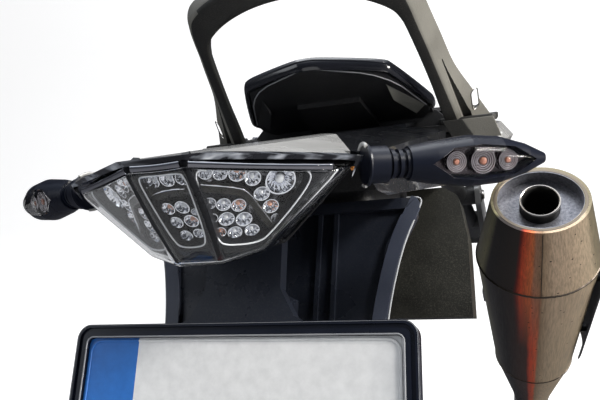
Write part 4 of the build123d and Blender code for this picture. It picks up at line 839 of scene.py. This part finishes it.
def hoop_loop(row, at_foot):
    """Rounded section of the hoop at one row; the last one lies on the foot."""
    in_x, in_b, low_x, low_b, top_x, top_b, corner = row
    flare = min(1, max(0, (in_b - 6) / 30))
    corners = [(in_x, in_b, 0), (low_x, low_b, 2 * flare), (top_x, top_b, HOOP_TALL - 2 * flare),
               (in_x + flare, in_b, HOOP_TALL * (1 - 0.55 * flare))]
    if at_foot:
        corners = [(x + g * (end_b(c) - b), end_b(c), c) for (x, b, c), g in zip(corners, ARM_GROWTH)]
    corners = [Vector(p) for p in corners]
    loop = []
    for k in range(4):
        point, before, after = corners[k], corners[k - 1], corners[(k + 1) % 4]
        a = point + (before - point).normalized() * min(corner, (before - point).length * 0.45)
        b = point + (after - point).normalized() * min(corner, (after - point).length * 0.45)
        loop += [a * (1 - u) ** 2 + point * (2 * u * (1 - u)) + b * u * u for u in (0, 0.33, 0.67, 1)]
    return loop


def cutter(name, outline, low_c, high_c):
    """Closed cutter on the hoop's plane."""
    points = [on_hoop(x, b, c) for c in (low_c, high_c) for x, b in outline]
    made = new_object(name, points, ends(2, len(outline)) + bands(2, len(outline)))
    reshape(made.data, turn_faces_out)
    return made


def slot_point(angle, radius):
    """X and b on the strap slot's outline."""
    a = radians(angle)
    return SLOT_X + radius * cos(a), SLOT_B + (SLOT_HALF if angle < 180 else -SLOT_HALF) + radius * sin(a)


hoop_rows = smooth_rows(HOOP_ROWS, 5)
loops = [hoop_loop(row, False) for row in hoop_rows] + [hoop_loop(hoop_rows[-1], True)]
loops = [[Vector((-p.x, p.y, p.z)) for p in loop] for loop in reversed(loops[1:])] + loops
points = [on_hoop(*p) for loop in loops for p in loop]
faces = ends(len(loops), len(loops[0])) + bands(len(loops), len(loops[0]))
hoop = mesh_piece("hoop_bar", points, faces, "hoop_metal")
reshape(hoop.data, turn_faces_out)
cutters = []
for side, hand in SIDES:
    cutters.append(cutter("cut_wedge_" + side, [(hand * x, b) for x, b in WEDGE], -10, 11.5))
    slot_line = [slot_point(angle, SLOT_R) for angle in range(0, 360, 20)]
    cutters.append(cutter("cut_slot_" + side, [(hand * x, b) for x, b in slot_line], -10, 40))
for tool in cutters:
    modify(hoop, "cut", "BOOLEAN", operation="DIFFERENCE", object=tool, solver="EXACT")
apply_modifiers(hoop)
for tool in cutters:
    bpy.data.objects.remove(tool)
finish_piece(hoop, "hoop_metal")
# Faces that do not face outwards take the darker copy: painted shade
hoop.data.materials.append(LOOKS["hoop_painted_shade"][0])
for polygon in hoop.data.polygons:
    if polygon.normal.x * polygon.center.x <= 0.35 * abs(polygon.center.x):
        polygon.material_index = 1
for side, hand in SIDES:
    foot = turn((1, 0, 0), (0, 0, 1), place(hand * FOOT_X, FOOT_T, FOOT_Z))
    # The feet are drawn in the darker copy of the hoop's metal: painted shade
    slab("hoop_foot_" + side, rounded_box(54, 100, 6), 6, foot, "hoop_painted_shade", 1.2)
    rim = []
    for angle in range(0, 360, 15):
        x, b = slot_point(angle, SLOT_R + 0.1)
        low_x, top_x = 108.5 + 0.15 * (b - 100), 120.5 + 0.35 * (b - 100)
        rim.append(on_hoop(hand * x, b, 2.1 + 19.6 * (x - low_x) / (top_x - low_x)))
    sweep("hoop_slot_rim_" + side, rim, oval(0.55), "polished_edge", closed=True,
          up=on_hoop(0, 0, 1) - on_hoop(0, 0, 0))
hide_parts("grab_hoop")

# Number plate and its rear reflector
PLATE_LEAN = radians(26.8)
PRISM_PITCH, PRISM_TALL = 3.2, 0.55
PRISM_ROWS, PRISM_COLUMNS = 7, 18
plate_out = Vector((0, -cos(PLATE_LEAN), sin(PLATE_LEAN)))
plate_up = Vector((0, sin(PLATE_LEAN), cos(PLATE_LEAN)))


def plate_frame(down, out):
    """Frame on the plate: mm down its slope from the top edge and out of its face, X right, Y up."""
    return turn((1, 0, 0), plate_out, place(0, 0, 0) + (plate_out * out - plate_up * down) * MM)


on_plate = plate_frame(88, -2.5)
sweep("plate_bead", on_frame(on_plate, rounded_box(196, 156, 7, 6), 0.15), ridge(0.9, 0, 0.5, 0.5),
      "plate_white", closed=True, up=plate_out)
for name, width, corner, height, size in (("outer", 215, 8, 2, 0.55), ("inner", 200.6, 4, 2.5, 0.5)):
    line = on_frame(on_plate, rounded_box(width, width - 40, corner, 6), height)
    sweep("plate_frame_line_" + name, line, oval(size), "light_edge", closed=True, up=plate_out)
on_reflector = plate_frame(193, -1)
points = []
faces = []
for row in range(PRISM_ROWS):
    for column in range(PRISM_COLUMNS):
        x = (column - (PRISM_COLUMNS - 1) / 2) * PRISM_PITCH
        y = (row - (PRISM_ROWS - 1) / 2) * PRISM_PITCH
        half = PRISM_PITCH / 2
        first = len(points)
        foot = ((x - half, y - half), (x + half, y - half), (x + half, y + half), (x - half, y + half))
        points += on_frame(on_reflector, foot, 0)
        points += on_frame(on_reflector, ((x, y),), PRISM_TALL)
        faces += [(first + k, first + (k + 1) % 4, first + 4) for k in range(4)]
mesh_piece("reflector_prisms", points, faces, "red_reflex", smooth=False)
sweep("reflector_rim", on_frame(on_reflector, rounded_box(63, 25, 3, 4), -0.6),
      ridge(1.1, -0.3, 0.9, 0.4), "black_plastic", closed=True, up=plate_out)

# Band on the rear mudguard's rim, and a light-grey line along its edge as a painted highlight of the lit rim
GUARD_LEAN = radians(33)
GUARD = turn((1, 0, 0), (0, -cos(GUARD_LEAN), sin(GUARD_LEAN)), place(0, 56, -18))
GUARD_EDGE = [(78, -49), (79, -8), (83, 20), (90, 50), (99, 72), (103.4, 83.4), (92, 84)]
guard_line = smooth_line(GUARD_EDGE)
guard_out = GUARD.to_3x3() @ Vector((0, 0, 1))
for side, hand in SIDES:
    band = [(hand * (x - 5.6), y - (3 if y > 70 else 0)) for x, y in guard_line[:-4]]
    sweep("guard_rim_" + side, on_frame(GUARD, band, 0.1), ridge(5, -0.4, 4.6, 0.5), "rim_navy", up=guard_out)
    line = [(hand * x, y) for x, y in guard_line]
    sweep("guard_highlight_edge_" + side, on_frame(GUARD, line, -0.2), oval(0.6), "ring_grey", up=guard_out)

# Silencer: s runs from its outlet forward along its axis
PIPE_SWING, PIPE_FALL = radians(2.6), radians(46)
PIPE_AXIS = Vector((-sin(PIPE_SWING), cos(PIPE_SWING) * cos(PIPE_FALL), -cos(PIPE_SWING) * sin(PIPE_FALL)))
PIPE_ACROSS = (Vector((cos(PIPE_SWING), 0, 0)) + PIPE_AXIS * sin(PIPE_SWING)).normalized()
pipe = turn(PIPE_ACROSS, PIPE_AXIS, place(187, 378, 4))
SHELL = ((0, 50, 44), (102, 69, 60), (370, 53, 48), (520, 27, 27))  # s, half sizes
# Painted light on the outer side, painted shade in the dark band and a painted red reflection, over its own
# tones
NEAR_TINTS_AND_LIGHT = (  # turn about the axis, colour, at the outlet's end
    (0, (0.22, 0.19, 0.12)), (0.14, (0.30, 0.25, 0.16)), (0.20, (0.62, 0.49, 0.34)),
    (0.44, (0.68, 0.51, 0.36)), (0.495, (0.52, 0.37, 0.24)), (0.505, (0.34, 0.23, 0.14)),
    (0.545, (0.50, 0.26, 0.16)), (0.560, (0.85, 0.24, 0.09)), (0.615, (0.80, 0.11, 0.045)),
    (0.635, (0.22, 0.03, 0.025)), (0.65, (0.055, 0.045, 0.042)), (0.83, (0.04, 0.037, 0.037)),
    (0.88, (0.30, 0.28, 0.16)), (1, (0.30, 0.27, 0.18)),
)
FAR_TINTS_AND_LIGHT = (  # the same further down
    (0, (0.25, 0.21, 0.14)), (0.20, (0.50, 0.40, 0.27)), (0.44, (0.58, 0.45, 0.31)),
    (0.50, (0.42, 0.30, 0.19)), (0.515, (0.85, 0.17, 0.07)), (0.555, (0.75, 0.09, 0.04)),
    (0.575, (0.10, 0.05, 0.04)), (0.72, (0.035, 0.032, 0.032)), (0.80, (0.07, 0.065, 0.06)),
    (0.90, (0.20, 0.19, 0.12)), (1, (0.16, 0.15, 0.10)),
)


def shell_at(s):
    """Half width and half height of the silencer at s."""
    for low, high in zip(SHELL, SHELL[1:]):
        if s <= high[0]:
            share = (s - low[0]) / (high[0] - low[0])
            return low[1] + share * (high[1] - low[1]), low[2] + share * (high[2] - low[2])
    return SHELL[-1][1:]


def on_pipe(s, angle, out=0):
    """Point on the silencer; angle 0 is its outer side and 90 degrees its rear."""
    half_w, half_h = shell_at(s)
    a = radians(angle)
    return pipe @ (Vector(((half_w + out) * cos(a), (half_h + out) * sin(a), s)) * MM)


def around_pipe(s, out, steps, wobble, seed):
    """Uneven loop round the silencer."""
    spread = random.Random(seed)
    return [on_pipe(s + spread.uniform(-wobble, wobble), 360 * k / steps,
                    out + spread.uniform(-wobble, wobble) / 3) for k in range(steps)]


def pipe_coordinates(shader):
    """Place on the silencer: turn about its axis, 0 on its outer side to 1 on its inner side by the rear;
    metres along it; and how far out of its axis, where 1 is the rear end's rim."""
    back = pipe.inverted()
    coordinates = node(shader, "TexCoord", {}).outputs["Object"]
    values = {"Location": back.translation, "Rotation": back.to_euler(), "Vector": coordinates}
    vector = node(shader, "Mapping", values).outputs["Vector"]
    x, y, along = split(vector)
    across = calc("DIVIDE", x, SHELL[0][1] * MM)
    upright = calc("DIVIDE", y, SHELL[0][2] * MM)
    turned = calc("DIVIDE", calc("ARCTAN2", upright, across), pi)
    squares = [calc("MULTIPLY", value, value) for value in (across, upright)]
    return vector, turned, along, calc("SQRT", calc("ADD", *squares))


def silencer_skin(name, with_dish=False):
    """Brushed titanium: warm on its outer side, where it is also lighter as painted light, a dark band of
    painted shade then olive on its inner side, and a red streak that is a painted reflection.
    """
    shader = shader_of(name, "titanium")
    vector, turned, along, reach = pipe_coordinates(shader)
    wave = calc("SUBTRACT", noise(vector, 26, 3), 0.5)
    warped = calc("ADD", turned, calc("MULTIPLY", wave, 0.018))
    fade = ramp(calc("MULTIPLY", along, 3), (0.2, 0), (0.75, 1))
    tint = blend(fade, ramp(warped, *NEAR_TINTS_AND_LIGHT), ramp(warped, *FAR_TINTS_AND_LIGHT))
    squeezed = node(shader, "Mapping", {"Scale": (1, 1, 0.03), "Vector": vector}).outputs["Vector"]
    lines = noise(squeezed, 620, 3, 0.65)
    tint = blend(ramp(lines, (0.3, 0.45), (0.62, 0)), tint, (0.05, 0.04, 0.03))
    tint = blend(ramp(cells(vector, 75), (0.07, 0.9), (0.10, 0)), tint, (0.025, 0.02, 0.02))
    if with_dish:
        inside = ramp(reach, (0.865, 1), (0.872, 0))
        scratch = noise(vector, 320, 5, 0.8)
        dish = ramp(scratch, (0.3, (0.07, 0.075, 0.09)), (0.75, (0.30, 0.30, 0.33)))
        tint = blend(inside, tint, dish)
    paint(shader, tint, ramp(lines, (0.25, 0.30), (0.75, 0.46)), 0.6)
    bump(shader, lines, 0.18, 0.0002)


def darker_inward(name):
    """Outlet pipe, grey at its mouth and darker further in, near black deep inside."""
    shader = shader_of(name, "steel")
    vector, _, along, _ = pipe_coordinates(shader)
    blot = noise(vector, 90, 4)
    depth = calc("ADD", calc("MULTIPLY", along, 60), calc("MULTIPLY", blot, 0.5))
    tint = ramp(depth, (0.3, (0.20, 0.19, 0.18)), (0.55, (0.03, 0.028, 0.027)), (1, 0.008))
    paint(shader, tint, ramp(blot, (0.3, 0.45), (0.7, 0.8)), 0.4)
    bump(shader, blot, 0.2, 0.0004)


silencer_skin("titanium_body")
silencer_skin("titanium_cap", True)
darker_inward("outlet_darker_inward")
dress("silencer_body", "titanium_body", 0)
dress("silencer_end_cap", "titanium_cap", 0.9)
dress("silencer_outlet", "outlet_darker_inward", 0)
for name, s, size in (("weld_cap", 102, 1.5), ("weld_cone", 370, 1.3), ("weld_inlet", 519, 1.4)):
    sweep("silencer_" + name, around_pipe(s, -0.2, 150, 0.5, 3), oval(size), "weld", closed=True,
          up=PIPE_AXIS)
sweep("silencer_seam", [on_pipe(s, 91, -0.25) for s in range(3, 103, 3)], oval(0.55), "weld",
      up=PIPE_AXIS.cross(PIPE_ACROSS))
sweep("silencer_rim", on_frame(pipe, oval(45.6, 39.6, 96), 0.1), ridge(1.9, -0.2, 1.3, 0.4), "dish_rim",
      closed=True, up=-PIPE_AXIS)
for number, s in enumerate((145, 305), 1):
    screw(f"shield_screw_{number}", on_pipe(s, 0, 9.4), PIPE_ACROSS, 4.2, 2.4)
lathe("outlet_lip", [(19, 2.6), (19.1, 1.7), (19.8, 1.3), (20.6, 1.5), (20.75, 2.4), (20.75, 3.6)], pipe,
      "polished_edge", 56, ring=True)

# Screws and pin heads on brackets, hoop feet, covers and lugs
LUG_X = 117
REST_X, REST_T, REST_Z = 150, 640, -150
LUG_FACE = [(5.5, -0.3), (12, -0.3), (12, 0.5), (11.4, 0.8), (6.1, 0.8), (5.5, 0.3)]
PIN_HEAD = [(6.2, -0.2), (6.2, 1.6), (5.6, 2.2), (2.4, 2.4)]
COVER_SCREWS = ((156.1, 490, 0.897, -0.443), (151.9, 335, 0.852, -0.52))  # X, t, direction's X and Z
STRUT_SLOPE = 143 / 290
for side, hand in SIDES:
    for number, t in enumerate((344, 384), 1):
        screw(f"hoop_screw_{side}_{number}", place(hand * FOOT_X, t, 100), (0, 0, 1), 5, 3.4)
    for number, back in enumerate((60, 150), 1):
        z = back * STRUT_SLOPE - 70
        screw(f"bracket_screw_{side}_{number}", place(hand * 124, REACH - back, z), (hand, 0, 0), 6, 4.2)
    for number, lug_z in enumerate((60, -70), 1):
        lug = turn((0, 1, 0), (hand, 0, 0), place(hand * LUG_X, REACH, lug_z))
        lathe(f"lug_face_{side}_{number}", LUG_FACE, lug, "steel", 36, ring=True)
    for ear, spin in (("rear", -1), ("front", 1)):
        head = turn((0, 0, 1), (0, spin, 0), place(hand * REST_X, REST_T + spin * 14.6, REST_Z))
        lathe(f"pin_head_{side}_{ear}", PIN_HEAD, head, "screw_steel", 28)
    for number, (x, t, out_x, out_z) in enumerate(COVER_SCREWS, 1):
        screw(f"cover_screw_{side}_{number}", place(hand * x, t, 64.4), (hand * out_x, 0, out_z), 4.4, 2.2)

# Footrest rubbers: ribbed sleeves
SLEEVE_FROM, SLEEVE_TO = 172.2, 233.8
SLEEVE_R, SLEEVE_BORE_R = 12.6, 9.2
RIDGE, FLUTE, END_TAPER = 0.9, 0.5, 1.2
SLEEVE_STEPS, SLEEVE_AROUND = 56, 64
for side, hand in SIDES:
    rows = []
    for k in range(SLEEVE_STEPS + 1):
        radius = SLEEVE_R + (RIDGE if k % 4 in (1, 2) else 0) - (END_TAPER if k in (0, SLEEVE_STEPS) else 0)
        rows.append((SLEEVE_FROM + k / SLEEVE_STEPS * (SLEEVE_TO - SLEEVE_FROM), radius))
    rows += [(SLEEVE_TO, SLEEVE_BORE_R), (SLEEVE_FROM, SLEEVE_BORE_R)]
    points = []
    for x, radius in rows:
        for j in range(SLEEVE_AROUND):
            a = 2 * pi * j / SLEEVE_AROUND
            out = radius - (FLUTE if (j // 4) % 2 and radius > 13 else 0)
            points.append(place(hand * x, REST_T + out * cos(a), REST_Z + out * sin(a)))
    faces = bands(len(rows), SLEEVE_AROUND, wrap=True, flip=hand > 0)
    rubber = mesh_piece("footrest_sleeve_" + side, points, faces, "rest_rubber", f"footrest_{side}_body")
    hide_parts("footrest_rubber_" + side)

# Seat cushion: blown up from a slightly smaller copy of its solid
SEAT_CAP = 6 * MM
SEAT_INSET = 2.5 * MM
VOXEL = 4.5 * MM
TAIL_SLOPE = radians(23.2)
TAIL_T, TAIL_Z = 230, 146
tail_up = Vector((0, sin(TAIL_SLOPE), cos(TAIL_SLOPE)))
tail_point = place(0, TAIL_T, TAIL_Z) + tail_up * (4.5 * MM)
base_z = place(0, 0, 112.4).z
seat = add(bpy.data.objects.new("seat_pad", NODES["seat_cushion"].data.copy()))
finish_piece(seat, "seat_vinyl")
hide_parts("seat_cushion")
reshape(seat.data, lambda edited: bmesh.ops.remove_doubles(edited, verts=edited.verts, dist=0.00005))
modify(seat, "remesh", "REMESH", mode="VOXEL", voxel_size=VOXEL)
apply_modifiers(seat)
modify(seat, "relax", "SMOOTH", factor=0.5, iterations=6)
apply_modifiers(seat)
normals = [v.normal.copy() for v in seat.data.vertices]
for vertex, normal in zip(seat.data.vertices, normals):
    if vertex.co.z > base_z + 4 * MM and (vertex.co - tail_point).dot(tail_up) > 4 * MM:
        vertex.co = vertex.co - normal * SEAT_INSET
before = [v.co.copy() for v in seat.data.vertices]
pins = seat.vertex_groups.new(name="pins")
pins.add([k for k, co in enumerate(before)
          if co.z < base_z + 4 * MM or (co - tail_point).dot(tail_up) < 3 * MM], 1, "REPLACE")
cloth = seat.modifiers.new("cloth", "CLOTH")
set_all(cloth.settings, use_pressure=True, uniform_pressure_force=4, vertex_group_mass="pins")
cloth.settings.effector_weights.gravity = 0
set_all(cloth.point_cache, frame_start=1, frame_end=20)
for step in range(1, 21):
    bpy.context.scene.frame_set(step)
graph = bpy.context.evaluated_depsgraph_get()
blown = seat.evaluated_get(graph).to_mesh()
after = [v.co.copy() for v in blown.vertices]
seat.evaluated_get(graph).to_mesh_clear()
seat.modifiers.clear()
bpy.context.scene.frame_set(1)
for vertex, low, high in zip(seat.data.vertices, before, after):
    move = high - low
    if move.length > SEAT_CAP:
        move = move.normalized() * SEAT_CAP
    co = low + move
    co.z = max(co.z, base_z)
    under = (co - tail_point).dot(tail_up)
    if under < 0:
        co -= tail_up * under
    vertex.co = co
modify(seat, "fine", "SUBSURF", levels=1, render_levels=1)
apply_modifiers(seat)
for polygon in seat.data.polygons:
    polygon.use_smooth = True

# Piping along the seat's shoulders
SEAT_SHOULDER = ((236, 62.5, 156.6), (300, 60, 155), (420, 50, 150), (556, 34.4, 144.4))  # t, X, z
PIPING_STEPS = 12
for side, hand in SIDES:
    seam = []
    for low, high in zip(SEAT_SHOULDER, SEAT_SHOULDER[1:]):
        for step in range(PIPING_STEPS):
            t, x, z = (a + step / PIPING_STEPS * (b - a) for a, b in zip(low, high))
            seam.append(place(hand * x, t, z + 0.2))
    sweep("seat_piping_" + side, seam, oval(1.5, steps=10), "seat_vinyl")

# Glossy band round the seat's tail, with a thin light-grey lip under it as a painted highlight
BAND = (  # X, t, z
    (0, 202.5, 160.6), (10, 204, 160.4), (38, 216.5, 156.8), (64.5, 229, 152.6), (68.5, 235, 149.6),
    (79, 262, 138), (91.5, 298.5, 122.4), (93, 306, 119.6), (92, 320, 117.2))
HIGHLIGHT_LIP = ((9, 206, 155.6), (64, 232, 144.6), (88.2, 299.4, 115.8))
BAND_UP = (0, 0.25, 1)
band = [place(-x, t, z) for x, t, z in reversed(BAND[1:])] + [place(x, t, z) for x, t, z in BAND]
sweep("seat_band", smooth_line(band), oval(3.08, 5.6, 14), "seat_band", up=BAND_UP)
for side, hand in SIDES:
    line = smooth_line([place(hand * x, t, z) for x, t, z in HIGHLIGHT_LIP])
    sweep("seat_highlight_lip_" + side, line, oval(0.6), "light_edge", up=BAND_UP, slot="seat_vinyl")

# Small facets beside the seat's hump, the right one light grey as painted sunlight and the left one black,
# and the plates in which the hoop's arms go on, their inner part in painted shade
FACET = ((60, 250, 0.4), (87, 300, 0.4), (77, 309, 4.6), (61.5, 274, 4.6))  # X, t, out
APRON_FACES = (  # name, look, X and z
    # The inner face is drawn in the darker copy of the hoop's metal: painted shade
    ("hoop_shaded", "hoop_painted_shade", ((103, 98), (112, 79), (132, 79), (121, 98))),
    ("hoop", "hoop_metal", ((121, 98), (132, 79), (155, 79), (149, 98))))
APRON_WALL = 2.4
APRON_T = 289
for side, hand in SIDES:
    on_tail = [place(hand * x, t, TAIL_Z - (t - TAIL_T) * tan(TAIL_SLOPE)) for x, t, _ in FACET]
    points = [p + tail_up * (0.4 * MM) for p in on_tail]
    points += [p - tail_up * out * MM for p, (_, _, out) in zip(on_tail, FACET)]
    faces = [(0, 1, 2, 3), (7, 6, 5, 4), (0, 4, 5, 1), (1, 5, 6, 2), (2, 6, 7, 3), (3, 7, 4, 0)]
    facet = mesh_piece("seat_facet_" + side, points, faces, "facet_painted_sunlight" if hand > 0 else "black_plastic",
                       smooth=False)
    soften(facet, 0.4)
    rear_plane = APRON_T if hand > 0 else APRON_T - APRON_WALL
    apron = turn((hand, 0, 0), (0, -hand, 0), place(0, rear_plane, 0))
    for name, look, outline in APRON_FACES:
        slab(f"hoop_apron_{name}_{side}", outline, APRON_WALL, apron, look)

# Gusset that closes the gap between the seat and the hoop's feet
GUSSET_HALF = ((104, 88), (103, 101), (94, 110))  # X, z
gusset = list(GUSSET_HALF) + [(-x, z) for x, z in reversed(GUSSET_HALF)]
slab("seat_gusset", gusset, 3, turn((1, 0, 0), (0, -1, 0), place(0, 332, 0)), "black_plastic", 0.6)
